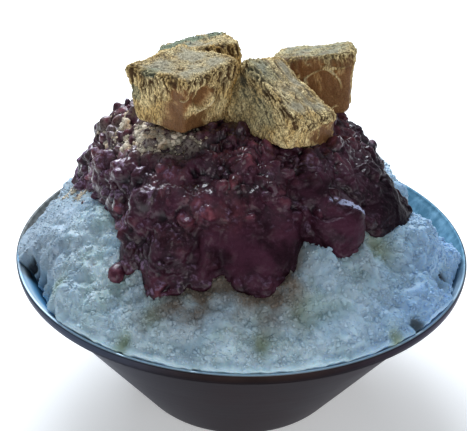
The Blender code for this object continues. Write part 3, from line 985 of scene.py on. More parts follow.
def dusted(points, normals):
    """Where spilt powder lies on the beans: a bell round each spot, on what faces up, broken by noise."""
    total = sum(strength * bell(points[..., :2], middle, reach) for middle, reach, strength in POWDER_SPOTS)
    facing = smooth_step(normals[..., 2], 0.2, 0.8)
    return np.clip(total, 0.0, 1.0) * facing * smooth_step(ripple(points, 4.0, 91), -0.8, 0.2)

# %% [markdown]
# Seeds on a sunflower's head fill it evenly because each is a golden turn on from the last. The beans are
# spread in the same way, with a little luck so that the spiral doesn't show. Some are red where light comes
# through them.

# %% Spread the beans
BEANS = 1150
GOLDEN_TURN = math.pi * (3.0 - math.sqrt(5.0))


def spread_beans(count, rng):
    """Shares and azimuths of a spiral that is even by area.

    Formula: the nth bean is n golden turns round, at the share where that part of the topping's area,
    added up ring by ring, lies inside."""
    share = np.linspace(0.0, 1.0, 300)
    line = bean_form(share, np.full(300, -math.pi / 2.0))
    steps = np.linalg.norm(np.diff(line, axis=0), axis=1)
    area = np.append(0.0, np.cumsum(steps * np.hypot(line[1:, 0], line[1:, 1])))
    place = (np.arange(count) + 0.5 + rng.normal(size=count) * 9.0) / count
    around = np.arange(count) * GOLDEN_TURN + rng.normal(size=count) * 0.07
    return np.interp(np.clip(place, 0.0, 1.0) * area[-1], area, share), around % (2.0 * math.pi)


def bean_sizes(count, rng):
    """Length, width and thickness of each bean: most are whole, a third are halves and bits."""
    length = rng.uniform(5.4, 8.6, count)
    wide, thick = rng.uniform(0.58, 0.76, count), rng.uniform(0.4, 0.66, count)
    sizes = np.stack([length, length * wide, length * thick], axis=1)
    return sizes * np.where(rng.uniform(size=count) < 0.35, rng.uniform(0.4, 0.8, count), 1.0)[:, None]


# places where the light comes through and the mass looks red, with their reach
RED_SPOTS = (
    ((-15.0, -52.5, 108.6), 6.5),
    ((-3.6, -53.8, 108.7), 6.0),
    ((-4.4, -48.4, 114.4), 4.0),
    ((1.6, -36.0, 121.0), 7.0),
    ((-7.6, -35.0, 123.0), 4.0),
    ((-46.0, 8.0, 124.0), 6.0),
    ((-27.0, -43.0, 115.0), 6.0),
    ((-44.0, -19.0, 114.5), 6.0),
    ((-57.0, -6.0, 103.0), 9.0),
    ((-47.0, 4.0, 118.0), 6.0),
    ((43.0, -39.0, 95.0), 3.5),
    ((42.0, 2.0, 116.0), 9.0),
    ((-43.0, -37.0, 97.0), 5.0),
)


def red_patches(points):
    """1 in the middle of the red places, falling to 0 round each as a bell, and a little from a ripple."""
    faint = 0.45 * smooth_step(ripple(points, 9.0, 69), 0.15, 0.7) * (1.0 - calm_paste(points))
    return np.maximum(bells(points, RED_SPOTS), faint)


def bean_redness(points, rng):
    """How much red a bean lets through: its own luck, more in the red patches, little in calm paste."""
    luck = rng.uniform(0.0, 1.0, len(points)) ** 2.5
    return np.clip((0.12 + 0.88 * red_patches(points)) * luck * (1.0 - 0.8 * calm_paste(points)), 0.0, 1.0)

# %% [markdown]
# Most beans have burst, so the paste is far from flat. Its lumps are cobbles at three sizes, pushed out of
# shape by a ripple first, and every lump has its own height, so that one stands over the next. Narrow
# folds run between them where a ripple crosses zero. Low in front and at the right the syrup has settled,
# and there all of this fades to a nearly smooth skin.

# %% Lumps and folds of the paste
BEAN_COLUMNS, BEAN_ROWS = 640, 148
PASTE_DEPTH = 1.2
PASTE_ROOT = 30.0
SYRUP_FILLET = 0.9
# size, height and seed
PASTE_LUMPS = ((10.5, 4.2, 61), (5.2, 2.0, 62), (2.6, 0.75, 63))
# the largest lumps and the gaps between them: middle, reach and height
PASTE_SWELLS = (
    ((36.5, -42.0, 98.0), 8.5, 5.0),
    ((46.5, -31.5, 101.0), 4.5, -3.5),
    ((55.0, -22.0, 95.0), 9.0, 2.5),
    ((-31.0, -46.0, 110.0), 6.0, 3.0),
    ((-14.0, -50.0, 112.0), 5.0, 2.0),
    ((1.0, -41.0, 119.0), 6.0, 2.5),
    ((-54.0, -12.0, 103.0), 6.0, 3.0),
    ((-44.0, -29.0, 108.0), 5.0, 2.5),
    ((-22.0, -50.0, 106.0), 5.0, -2.0),
    ((37.5, -40.0, 102.5), 4.0, 1.5),
    ((64.0, -4.0, 92.0), 10.0, -3.5),
    ((51.0, 6.0, 112.0), 10.0, -2.2),
    ((0.4, -34.0, 122.5), 5.0, 2.2),
    ((-24.8, -41.3, 117.3), 4.5, 2.0),
)

# places with a painted lilac sheen on the syrup: middle and reach
PAINTED_SHEEN_SPOTS = (
    ((-24.8, -41.3, 117.3), 3.5),
    ((-30.5, -46.0, 110.4), 4.0),
    ((-14.5, -52.6, 108.6), 3.0),
    ((-3.6, -53.8, 108.7), 3.0),
    ((24.0, -30.5, 117.5), 4.5),
    ((32.5, -26.2, 113.8), 4.0),
)

# whole burst clumps without a bean to be seen: middle and reach
BURST_CLUMPS = (
    ((0.4, -34.0, 122.5), 7.0),
    ((-24.8, -41.3, 117.3), 4.5),
    ((42.0, 0.0, 116.0), 8.0),
    ((-3.0, -52.0, 110.0), 5.0),
)


def broad_lumps(points):
    """The broad lumps in millimetres, which beans and paste share: a ripple and a bell for each swell."""
    wide = 1.7 * ripple(points, 14.0, 67) * (1.0 - 0.5 * calm_paste(points))
    return wide + sum(tall * bell(points, middle, reach) for middle, reach, tall in PASTE_SWELLS)


def warped(points, size, seed):
    """The points pushed about by three ripples, a quarter of their size far."""
    return points + 0.28 * size * three_ripples(points, size, seed)


def paste_lumps(points):
    """Lumps and folds in millimetres.

    Formula: for each size, a dome sqrt(1 - distance^2) times the lump's own height, less a fold
    max(0, 1 - 5 |ripple|)."""
    bent = warped(warped(points, 8.0, 64), 3.0, 68)
    total = np.zeros(points.shape[:-1])
    for size, tall, seed in PASTE_LUMPS:
        first, _, owner = cobbles(bent, size, seed)
        dome = np.sqrt(np.clip(1.0 - (first / 0.9) ** 2, 0.0, 1.0))
        total += tall * (dome * (0.35 + 1.0 * owner) - 0.55)
    fold = np.clip(1.0 - 5.0 * np.abs(ripple(bent, 6.5, 77)), 0.0, 1.0)
    return total - 0.9 * fold + 0.25 * ripple(points, 1.6, 66)


def paste_level(points, share):
    """Height of the paste over the smooth form: broad lumps and lumps, sunk by the paste's depth.

    The lumps shrink where the paste is calm, and grow and shrink with a wide ripple elsewhere."""
    quiet = calm_paste(points)
    depth = PASTE_DEPTH * (1.0 - 0.8 * np.maximum(quiet, smooth_step(share, 0.8, 0.97)))
    chunky = 0.45 + 0.75 * smooth_step(ripple(points, 21.0, 78), -0.5, 0.5)
    return paste_lumps(points) * chunky * (1.0 - 0.86 * quiet) + broad_lumps(points) - depth

# %% [markdown]
# The shell of paste is drawn over the beans like a wet cloth. For every bean, the points of the grid near it
# look along their own normals for the bean's surface, which is a quadratic equation for an ellipsoid, and
# the highest answer wins. A soft maximum with the paste's own level leaves a fillet of syrup at each bean.

# %% The shell of paste
# share from which beans are set; they sink in this much at the right, and this much in calm or burst paste
BEANS_FROM = 0.33
SINK_RIGHT, SINK_SMOOTH = 0.9, 2.2
# how many rows a bean reaches up and down, and how fast the shell falls away beside it
ROWS_NEAR, SIDE_FALL = 14, 1.6
# rings that close the shell below, as shares of its edge's radius, and their depth in the ice
PASTE_HIDDEN_RINGS, PASTE_SUNK = (0.97, 0.6), 2.5


def even_shares(rows):
    """Shares from 0.3 to 1 that are evenly spaced along the front's outline, after two rows below 0.3."""
    share = np.linspace(0.3, 1.0, 400)
    line = bean_form(share, np.full(400, -math.pi / 2.0))
    length = np.append(0.0, np.cumsum(np.linalg.norm(np.diff(line, axis=0), axis=1)))
    even = np.interp(np.linspace(0.0, length[-1], rows - 2), length, share)
    return np.concatenate([[0.1, 0.2], even])


def drape(form, normals, middles, axes, tones, rows, columns):
    """Height of the highest bean over each grid point, and its tone.

    Formula: with P and N the point and its normal in a bean's own axes, h solves |P + h N| = 1; beyond the
    bean's outline the square root's sign turns, so that the shell falls away steeply beside it."""
    height = np.full(form.shape[:2], -9.0)
    tone = np.zeros(form.shape[:2])
    spacing = 2.0 * math.pi / form.shape[1]
    for middle, own, shade, row, column in zip(middles, axes, tones, rows, columns):
        reach = np.linalg.norm(own[0]) + 1.5
        half = min(form.shape[1] // 2, int(reach / (spacing * max(np.hypot(middle[0], middle[1]), 4.0))) + 1)
        down = slice(max(0, row - ROWS_NEAR), min(form.shape[0], row + ROWS_NEAR + 1))
        across = (column + np.arange(-half, half + 1)) % form.shape[1]
        inverse = own.T / (own**2).sum(axis=1)
        point = (form[down][:, across] - middle) @ inverse
        normal = normals[down][:, across] @ inverse
        a, b, c = (normal**2).sum(-1), (point * normal).sum(-1), (point**2).sum(-1) - 1.0
        root = b * b - a * c
        rise = (np.sign(root) * np.sqrt(np.abs(root)) * np.where(root > 0.0, 1.0, SIDE_FALL) - b) / a
        old = height[down, across]
        tone[down, across] = np.where(rise > old, shade, tone[down, across])
        height[down, across] = np.maximum(rise, old)
    return height, tone

# %% Fillets, blur and what faces up
def soft_maximum(first, second, width):
    """The larger of two heights, with a fillet where they are close: max + (width - gap)^2 / 4 width."""
    near = np.clip(width - np.abs(first - second), 0.0, None)
    return np.maximum(first, second) + near**2 / (4.0 * width)


def softened(heights, passes):
    """The heights averaged with their neighbours on the grid, over and over, which blurs them."""
    for _ in range(passes):
        heights = (heights + np.roll(heights, 2, axis=1) + np.roll(heights, -2, axis=1)) / 3.0
        heights[2:-2] = (heights[4:] + heights[:-4] + heights[2:-2]) / 3.0
    return heights


def upward(rings):
    """How far each grid point faces up: the height part of the normal that two steps of the grid make."""
    normal = np.cross(np.gradient(rings, axis=0), np.roll(rings, -1, axis=1) - np.roll(rings, 1, axis=1))
    return normal[..., 2] / np.maximum(np.linalg.norm(normal, axis=-1), 1e-9)

# %% [markdown]
# The beans are set first and the shell is drawn over them. Its masks come from the same heights: red where a
# bean shows, painted shade where the paste is lower than what is round it, and a painted sheen where it
# faces up.

# %% Set the beans and build the paste
def sunken_beans(line, rng):
    """The beans under the paste: middles, axes and redness, and each one's row and column on the grid."""
    share, azimuth = spread_beans(BEANS, rng)
    share, azimuth = share[share > BEANS_FROM], azimuth[share > BEANS_FROM]
    form, normal = bean_surface(share, azimuth)
    sizes = bean_sizes(len(share), rng)
    depth = rng.uniform(-1.0, 0.25, len(sizes)) * sizes[:, 2] * 0.5 + 0.75 * paste_level(form, share)
    smooth = calm_paste(form) + bells(form, BURST_CLUMPS)
    depth = depth - SINK_RIGHT * smooth_step(form[:, 0], 22.0, 45.0) - SINK_SMOOTH * smooth
    middles = form + normal * depth[:, None]
    axes = axes_on(normal, sizes, 0.5, rng)
    rows = np.interp(share, line, np.arange(BEAN_ROWS)).round().astype(int)
    columns = (azimuth / (2.0 * math.pi) * BEAN_COLUMNS).round().astype(int)
    return middles, axes, bean_redness(form, rng), rows, columns


def paste_masks(form, normals, rings, draped, level, tone):
    """Redness, dullness, powder, and painted light: 0 for painted shade in hollows, 0.5 on plain paste and 1
    for a painted sheen where it faces up.
    """
    height = ((rings - form) * normals).sum(axis=-1)
    mean = softened(height, 4)
    crest, hollow = smooth_step(height - mean, -0.2, 1.0), smooth_step(mean - height, 0.15, 1.3)
    tone = tone * smooth_step(draped - level, -0.3, 0.8) + 0.8 * red_patches(form)
    tone = np.clip(tone, 0.0, 1.0) * (0.35 + 0.65 * crest)
    painted_sheen = 0.8 * smooth_step(upward(rings) - normals[..., 2], 0.05, 0.4) * (1.0 - 0.85 * calm_paste(form))
    painted_lilac_sheen = 0.8 * bells(form, PAINTED_SHEEN_SPOTS) * smooth_step(ripple(form, 2.2, 79), -0.3, 0.3)
    painted_sheen = np.maximum(np.maximum(painted_sheen, painted_lilac_sheen), smooth_step(wet_ridge(form), 0.2, 0.7))
    return tone, dull_paste(form), dusted(form, normals), 0.5 * (1.0 - hollow) * (1.0 + painted_sheen)


def build_paste(finish):
    """The smooth form raised to the draped height, closed below inside the ice."""
    rng = np.random.default_rng(70)
    azimuth = once_round(BEAN_COLUMNS)
    line = even_shares(BEAN_ROWS)
    share, around = np.broadcast_arrays(line[:, None], azimuth[None])
    form, normals = bean_surface(share, around)
    draped, tone = drape(warped(form, 4.5, 71), normals, *sunken_beans(line, rng))
    draped = draped + 0.35 * ripple(form, 2.4, 74) + 0.2 * ripple(form, 1.2, 75)
    level = paste_level(form, share)
    rings = form + normals * soft_maximum(draped, level, SYRUP_FILLET)[..., None]
    masks = paste_masks(form, normals, rings, draped, level, tone)
    masks = [np.append(mask.ravel(), np.zeros(len(PASTE_HIDDEN_RINGS) * BEAN_COLUMNS + 2)) for mask in masks]
    edge = bean_edge(azimuth)
    below = [on_ice(edge * part, azimuth, -PASTE_SUNK) for part in PASTE_HIDDEN_RINGS]
    rings = np.concatenate([rings, np.stack(below)])
    crown, root = BOWL_HEIGHT + BEAN_CROWN - PASTE_DEPTH, BOWL_HEIGHT + PASTE_ROOT
    points = shell_points(rings, (0.0, 0.0, crown), (0.0, 0.0, root))
    return make_piece("red_bean_paste", points, shell_faces(len(rings), BEAN_COLUMNS), finish, tints(*masks))

# %% [markdown]
# ### Syrup gloss
#
# Stewed beans are dark purple-brown with a skin that lets some red through, and the syrup on them is as
# shiny as varnish. The red is a share of the tint: high on beans near the light, low in the paste. The
# gloss is a coat over a duller base, so that highlights stay small and bluish while the body stays dark.
# Painted light is laid into the base colour as well: a painted lilac sheen where the paste faces up, painted
# glints on the wet ridge, painted highlight specks, and painted shade in the hollows and on the right.

# %% The bean finish
def bean_finish():
    gloss = {"Coat_Roughness": 0.12, "Coat_IOR": 1.5, "Specular_IOR_Level": 0.12}
    finish = Finish("stewed_beans", Specular_Tint=(0.85, 0.62, 1.0, 1.0), **gloss)
    tone, calm, dust, light = finish.masks()
    mottle = finish.noise(3.0, 3.0)
    fine = finish.noise(1.1, 2.0)
    drift = finish.noise(9.0, 3.0)
    dark = finish.colour(drift.step(0.35, 0.65), (0.018, 0.0046, 0.0075), (0.064, 0.018, 0.033))
    # painted shade: the topping darker towards its right
    dark = finish.colour(finish.along(0).step(35.0, 56.0), dark, (0.008, 0.0032, 0.005))
    red = finish.colour(mottle.step(0.35, 0.65), (0.09, 0.014, 0.017), (0.30, 0.082, 0.105))
    painted_sheen_share = 1.0 - 0.75 * finish.along(0).step(20.0, 45.0)
    # the red that shines through, painted highlight specks, the painted sheen, its painted glints, painted
    # shade in hollows and powder
    base = finish.paint(
        dark,
        (tone * (0.4 + 1.2 * mottle), red),
        # painted highlight specks, fewer in the calm paste
        (fine.step(0.55, 0.73) * (0.5 - 0.42 * calm), (0.18, 0.085, 0.13)),
        (light.step(0.55, 0.9) * (0.15 + 0.8 * fine.step(0.42, 0.62)) * painted_sheen_share, (0.27, 0.17, 0.27)),
        (light.step(0.91, 0.98) * fine.step(0.3, 0.5), (0.40, 0.43, 0.62)),
        ((1.0 - light.step(0.0, 0.5)) * (0.95 - 0.7 * calm), (0.006, 0.0025, 0.004)),
        (dust * fine.step(0.3, 0.55) * 0.85, (0.34, 0.29, 0.24)),
    )
    finish.feed("Base Color", base)
    finish.feed("Roughness", 0.42 + 0.25 * mottle + 0.3 * dust)
    shine = 0.3 + 0.7 * finish.noise(5.0, 2.0).step(0.42, 0.58)
    shine = shine * (1.0 - 0.5 * finish.along(0).step(30.0, 55.0))
    finish.feed("Coat Weight", (1.0 - calm) * (1.0 - dust) * shine)
    finish.relief(finish.noise(1.3, 3.0), 0.35)
    return finish.material


glaze = bean_finish()
serve(build_paste(glaze), "red_beans", "red_beans")

# %% [markdown]
# ### Beans that stand proud
#
# Nearly two hundred beans lie on the paste rather than in it, and only a mesh of their own can show the gap
# below them. An adzuki bean is a short rounded barrel about 7 mm long. Each is bent and wrinkled by noise of
# its own. Four more have strayed onto the ice in front and at the left.

# %% Shape the proud beans
PROUD_BEANS = 190
# x, y and length of the stray beans, and how red they are
STRAY_BEANS = ((-43.4, -55.4, 8.8), (-30.6, -63.4, 6.0), (-60.9, -13.0, 3.2), (-64.5, -4.0, 2.6))
STRAY_REDNESS = (0.3, 0.2, 0.1, 0.1)


def barrel(unit):
    """The unit ball drawn towards a rounded barrel: each coordinate to the power 0.85, with its sign."""
    return np.sign(unit) * np.abs(unit) ** 0.85


def proud_places(rng):
    """Middles, normals, sizes and redness of the proud beans, then of the stray ones on the ice."""
    share, azimuth = spread_beans(PROUD_BEANS * 2, rng)
    form, normals = bean_surface(share, azimuth)
    crowded = 1.6 * (calm_paste(form) + bells(form, BURST_CLUMPS)) + smooth_step(form[:, 0], 20.0, 40.0)
    keep = (share > 0.4) & (share < 0.985) & (rng.uniform(size=len(share)) > crowded)
    form, normals = form[keep][:PROUD_BEANS], normals[keep][:PROUD_BEANS]
    sizes = bean_sizes(len(form), rng) * 0.9
    lift = 0.9 * paste_level(form, 0.5) + sizes[:, 2] * rng.uniform(-0.45, 0.1, len(form))
    stray = np.array(STRAY_BEANS)
    radius, azimuth = to_polar(stray)
    strayed = on_ice(radius, azimuth, 0.22 * stray[:, 2])
    lying = polar(0.5, azimuth, 0.86)
    stray_sizes = stray[:, 2:] * [1.0, 0.72, 0.62]
    redness = np.append(bean_redness(form, rng), STRAY_REDNESS)
    middles = np.concatenate([form + normals * lift[:, None], strayed])
    return middles, np.concatenate([normals, lying]), np.concatenate([sizes, stray_sizes]), redness


def build_beans(finish):
    rng = np.random.default_rng(71)
    middles, normals, sizes, redness = proud_places(rng)
    count = len(middles)
    axes = axes_on(normals, sizes, 0.35, rng)
    unit, faces = ball(12, 6)
    own = far_apart(barrel(unit), count)
    dented = 1.0 + 0.3 * ripple(own, 1.1, 72) + 0.16 * ripple(own, 0.5, 73)
    shapes = barrel(unit)[None] * dented[..., None]
    shapes = shapes + 0.16 * (shapes[..., 0:1] ** 2 - 0.4) * np.array([0.0, 1.0, 0.0])
    points = place_balls(shapes, middles, axes)
    masks = [np.repeat(mask, len(unit)) for mask in (redness, calm_paste(middles), dusted(middles, normals))]
    # the last mask carries the painted sheen, a little brighter on each bean's upper side
    from_middle = points.reshape(count, -1, 3) - middles[:, None]
    facing = from_middle[..., 2] / np.maximum(np.linalg.norm(from_middle, axis=-1), 1e-9)
    masks.append(0.5 + 0.2 * smooth_step(facing, 0.3, 0.95).ravel())
    return make_piece("stewed_beans", points, repeat_faces(faces, count, len(unit)), finish, tints(*masks))


serve(build_beans(glaze), "red_beans")

# %% [markdown]
# ## The rice cakes
#
# Each rice cake is a soft block cut by knife and rolled in roasted soybean powder. The powder clings in
# fine ridges that run down the sides like bark, lies flat and pale on top, and has rubbed off in places
# where the brown cake shows. A cake is a cube whose six faces are grids. The cube is rounded, drawn out to
# the cake's own tapered block, and then raised along its normals by the powder's relief.

# %% The four cakes in numbers
# centre above the middle of the rim, XYZ turn, size, the bottom's share of the top, the front's share of the
# back in width and in height, the lean of the top, the way the powder runs, the bare spots as (place on the
# unit cube, reach), how green the damp spots are and where they lie, and a hollow with a curled rim. The
# middle and the right cake are a few millimetres larger here than their solids.
RICE_CAKES = {
    "rice_cake_left": {
        "centre": (-22.6, -14.9, 69.5), "turn": (-1.0, -1.0, -37.0), "size": (29.6, 31.0, 23.4),
        "taper": 0.76, "splay": 1.03, "thin": 0.92, "lean": (0.5, 0.4), "run": None,
        "bare": (
            ((1.0, -0.3, 0.15), 0.42), ((0.75, -1.0, 0.35), 0.4), ((0.6, -1.0, -0.2), 0.5),
            ((0.75, -1.0, -0.8), 0.6), ((1.0, -0.6, -0.7), 0.55),
        ),
        "green": (0.6, (((-0.8, -1.0, 0.1), 0.3), ((-0.3, -0.9, 1.0), 0.3))),
        "hollow": ((1.0, -0.35, 0.25), 0.36),
    },
    "rice_cake_back": {
        "centre": (-17.6, 17.7, 65.0), "turn": (-7.0, -11.0, 8.0), "size": (26.5, 26.0, 22.5),
        "taper": 0.94, "splay": 1.22, "thin": 1.0, "lean": (0.0, 0.0), "run": None,
        "bare": (((0.5, 1.0, 0.0), 0.45),),
        "green": (1.0, (((-0.8, 0.1, 1.0), 0.7), ((-0.2, 0.7, 1.0), 0.6), ((0.6, 0.8, 1.0), 0.35))),
        "hollow": None,
    },
    "rice_cake_middle": {
        "centre": (13.4, -12.8, 62.2), "turn": (15.0, 16.0, 54.0), "size": (24.5, 31.2, 29.0),
        "taper": 1.05, "splay": 1.3, "thin": 0.41, "lean": (-2.2, 0.4), "run": (0.15, -0.85, -0.5),
        "bare": (((0.4, -1.0, -0.2), 0.6), ((1.0, -1.0, 0.2), 0.45)),
        "green": (0.4, (((-0.6, 0.6, 1.0), 0.6), ((-1.0, 0.2, 0.0), 0.9))), "hollow": None,
    },
    "rice_cake_right": {
        "centre": (27.5, 20.2, 61.0), "turn": (-11.0, -10.0, -5.0), "size": (31.0, 26.8, 25.2),
        "taper": 0.83, "splay": 1.06, "thin": 0.95, "lean": (0.8, -0.2), "run": None,
        "bare": (((-0.3, -1.0, 0.0), 1.0), ((0.6, -1.0, -0.2), 1.0), ((-1.0, -0.4, -0.2), 0.8)),
        "green": (0.35, (((0.0, 0.0, 1.0), 1.5),)), "hollow": None,
    },
}

# %% A cube made of six grids
CAKE_GRID = 104
CAKE_ROUND = 0.2


def cube_shell(steps):
    """Points and quads of the cube from -1 to 1, six grids whose shared edges are merged."""
    line = np.arange(steps + 1)
    a, b = (grid.ravel() for grid in np.meshgrid(line, line, indexing="ij"))
    row, column = (grid.ravel() for grid in np.meshgrid(np.arange(steps), np.arange(steps), indexing="ij"))
    start = row * (steps + 1) + column
    quads = np.stack([start, start + steps + 1, start + steps + 2, start + 1], axis=-1)
    points, faces = [], []
    for axis in range(3):
        for side in (0, steps):
            face = np.zeros((len(a), 3), np.int64)
            face[:, axis], face[:, (axis + 1) % 3], face[:, (axis + 2) % 3] = side, a, b
            outwards = quads if side else quads[:, ::-1]
            faces.append(outwards + len(a) * len(points))
            points.append(face)
    merged, back = np.unique(np.concatenate(points), axis=0, return_inverse=True)
    return merged / steps * 2.0 - 1.0, back.ravel()[np.concatenate(faces)]


def rounded(unit, reach):
    """The cube with round edges: the part beyond an inner cube is turned into a ball of that reach."""
    core = np.clip(unit, reach - 1.0, 1.0 - reach)
    beyond = unit - core
    length = np.linalg.norm(beyond, axis=-1, keepdims=True)
    return core + reach * beyond / np.maximum(length, 1e-9)


def normals_of(points, faces):
    """Each point's normal: the cross products of the diagonals of its faces, added up."""
    corners = points[faces]
    flat = np.cross(corners[:, 2] - corners[:, 0], corners[:, 3] - corners[:, 1])
    total = np.zeros_like(points)
    for corner in range(4):
        np.add.at(total, faces[:, corner], flat)
    return total / np.linalg.norm(total, axis=1, keepdims=True)


def block(cake, unit):
    """The block in its own frame: half sizes times the unit cube, tapered, splayed, thinned and leant."""
    x, y, z = unit.T
    width, depth, height = cake["size"]
    lower, front = (1.0 - z) / 2.0, (1.0 - y) / 2.0
    plan = 1.0 + (cake["taper"] - 1.0) * lower
    new_x = x * width / 2.0 * plan * (1.0 + (cake["splay"] - 1.0) * front) + z * cake["lean"][0]
    new_y = y * depth / 2.0 * plan + z * cake["lean"][1]
    return np.stack([new_x, new_y, z * height / 2.0 * (1.0 + (cake["thin"] - 1.0) * front)], axis=-1)

# %% [markdown]
# The powder's relief is a ripple stretched along the way that the powder runs. On three of the cakes it runs
# from the middle of the top over the edge and straight down, and on the middle one aslant over the whole
# cake. The ripple is read at a point's place across the run, which changes quickly, and at its distance
# along the run, which is drawn out about five times. Taking 1 - |ripple| turns soft waves into sharp ridges.
# The left cake also has a torn hollow with powder curled up round it, and threads of powder cross the bare
# places.

# %% Powder relief
def run_places(cake, unit, place):
    """Where the powder's ripple is read: quick across the run, slow along it."""
    if cake["run"] is None:
        spread = np.maximum(np.abs(unit[:, 0]), np.abs(unit[:, 1]))
        flat = place[:, :2] / np.maximum(spread, 0.45)[:, None]
        along = place[:, 2] + (1.0 - spread) * 12.0 * np.sign(place[:, 2])
        inner = smooth_step(1.0 - spread, 0.08, 0.4)[:, None]
        return np.column_stack([flat, along * 0.22]) * (1.0 - inner) + place * inner
    run = np.array(cake["run"]) / np.linalg.norm(cake["run"])
    return place - np.outer(place @ run, run) * 0.8


def torn_hollow(cake, unit):
    """A hollow where the powder is torn off, and the powder curled up along its lower rim, each 0 to 1."""
    if cake["hollow"] is None:
        return np.zeros(len(unit)), np.zeros(len(unit))
    middle, reach = cake["hollow"]
    away = np.linalg.norm((unit - middle) / reach, axis=1)
    below = smooth_step(middle[2] - unit[:, 2], -0.1, 0.2)
    return np.exp(-(away**4)), np.exp(-(((away - 1.15) / 0.22) ** 2)) * below

# %% Ridges, bare spots and threads
# size and share of the ridges
RIDGES = ((2.7, 0.3), (1.4, 0.4), (0.8, 0.3))
# heights of streaks, bare places, the hollow, its curled rim and threads
RELIEF = (3.4, -0.4, -1.8, 1.4, 0.3)


def powder_relief(cake, unit, place, seed):
    """Relief in millimetres and three masks: ridge, bare and top.

    Formula: ridges at three sizes, each 1 - |ripple|, deepest near the top edge and fading downwards, with
    a wide swell, less the hollow and the bare spots, which lie a little deeper."""
    bent = run_places(cake, unit, place)
    bent = bent + 0.9 * three_ripples(place, 5.0, seed + 1) + 0.2 * three_ripples(place, 1.8, seed + 11)
    ridge = 1.0
    for order, (size, part) in enumerate(RIDGES):
        ridge = ridge - part * np.abs(ripple(bent, size, seed + 4 + order))
    top = smooth_step(unit[:, 2], 0.9, 1.0) * smooth_step(0.95 - np.abs(unit[:, :2]).max(axis=1), 0.0, 0.3)
    fringe = 0.55 + 0.6 * smooth_step(unit[:, 2], -0.5, 0.8)
    patches = smooth_step(ripple(place, 7.0, seed + 7), -0.3, 0.3)
    hollow, curl = torn_hollow(cake, unit)
    low = 0.3 * smooth_step(-unit[:, 2], 0.1, 1.0)
    bare = bells(unit, cake["bare"]) + low + 0.3 * ripple(place, 4.0, seed + 10) + 0.5 * (0.75 - ridge)
    bare = smooth_step(np.maximum(bare, hollow), 0.12, 0.75) * (1.0 - curl)
    thread = smooth_step(1.0 - np.abs(ripple(place, 9.0, seed + 14)) / 0.07, 0.0, 0.7)
    thread = thread * bare * (1.0 - hollow) * smooth_step(ripple(place, 8.0, seed + 15), 0.05, 0.35)
    bare = bare * (1.0 - 0.8 * thread)
    fringe = fringe * (1.0 - 0.6 * top * patches)
    streaks = (ridge - 0.75) * fringe * (1.0 - 0.85 * bare) * (0.75 + 0.35 * patches)
    swell = 0.9 * ripple(place, 13.0, seed + 8) + 0.35 * ripple(place, 5.0, seed + 9)
    ridge = 1.0 - (1.0 - ridge) * fringe
    ridge = np.maximum(ridge, np.maximum(curl, thread))
    relief = swell + sum(tall * part for tall, part in zip(RELIEF, (streaks, bare, hollow, curl, thread)))
    return relief, ridge, bare, top * (0.3 + 0.7 * patches)

# %% Build a cake
def build_cake(name, finish):
    cake = RICE_CAKES[name]
    cube, faces = cube_shell(CAKE_GRID)
    unit = rounded(cube, CAKE_ROUND)
    own = block(cake, unit)
    seed = 100 + 20 * sorted(RICE_CAKES).index(name)
    relief, ridge, bare, top = powder_relief(cake, cube, own, seed)
    own = own + normals_of(own, faces) * relief[:, None]
    turn = np.array(Euler([math.radians(a) for a in cake["turn"]], "XYZ").to_matrix())
    points = own @ turn.T + np.array(cake["centre"]) + [0.0, 0.0, BOWL_HEIGHT]
    strength, spots = cake["green"]
    green = strength * smooth_step(bells(unit, spots) + 0.3 * ripple(own, 4.0, seed + 10), 0.3, 0.75)
    masks = np.stack([ridge, bare, top, green], axis=-1)
    return make_piece(name + "_powdered", points, [faces], finish, masks)

# %% [markdown]
# ### Roasted soybean powder
#
# The powder is a dusty yellow-beige, paler and greyer where it is thick on top and ochre in the thin places,
# with painted shade, dark brown, in the furrows between the ridges and a painted highlight on the crests.
# Where it has rubbed off, the cake shows reddish brown and a little moist. All four masks come with the
# mesh, so that colour and shape agree.

# %% The powder finish
def powder_finish():
    finish = Finish("soybean_powder", Specular_IOR_Level=0.25)
    ridge, bare, top, green = finish.masks()
    grain = finish.noise(0.5, 3.0)
    drift = finish.noise(7.0, 3.0)
    fibre = finish.noise(0.5, 3.0, stretch=(1.0, 1.0, 3.5))
    dust = finish.colour(drift.step(0.38, 0.62), (0.62, 0.45, 0.20), (0.82, 0.68, 0.38))
    dust = finish.shade(dust, fibre.step(0.36, 0.60), (0.40, 0.34, 0.28), (1.38, 1.34, 1.26))
    specks = finish.noise(1.6, 2.0).step(0.55, 0.62) * (green + 0.3 * top)
    brown = finish.colour(drift.step(0.4, 0.6), (0.17, 0.062, 0.020), (0.36, 0.165, 0.052))
    # painted shade in the furrows, a painted highlight on the crests, the pale top, damp green, dark specks,
    # bare cake and its darkest places
    base = finish.paint(
        dust,
        ((1.0 - ridge).step(0.17, 0.42), (0.10, 0.055, 0.024)),
        (ridge.step(0.93, 1.0) * 0.55, (0.88, 0.74, 0.52)),
        (top * 0.9, (0.42, 0.38, 0.28)),
        (green * 0.85, (0.20, 0.26, 0.19)),
        (specks, (0.05, 0.05, 0.04)),
        (bare * 0.9, brown),
        (bare.step(0.9, 1.0) * drift.step(0.35, 0.6) * 0.6, (0.13, 0.045, 0.016)),
    )
    base = finish.shade(base, grain.step(0.3, 0.7), (0.74, 0.74, 0.74), (1.15, 1.15, 1.15))
    finish.feed("Base Color", base)
    finish.feed("Roughness", 0.95 - 0.4 * bare)
    finish.relief(grain, 0.3)
    return finish.material


powder = powder_finish()
for name in RICE_CAKES:
    serve(build_cake(name, powder), "bean_powder", name)

# %% [markdown]
# ### Spilt powder
#
# Some powder has fallen from the cakes and clots on the wet beans, most of it below the left cake, and a
# little lies on the ice at the far left. Each grain and each clot is a small ragged ball.

# %% Places for the powder
GRAINS = 5600
CLOTS = 520
ICE_GRAINS = 180
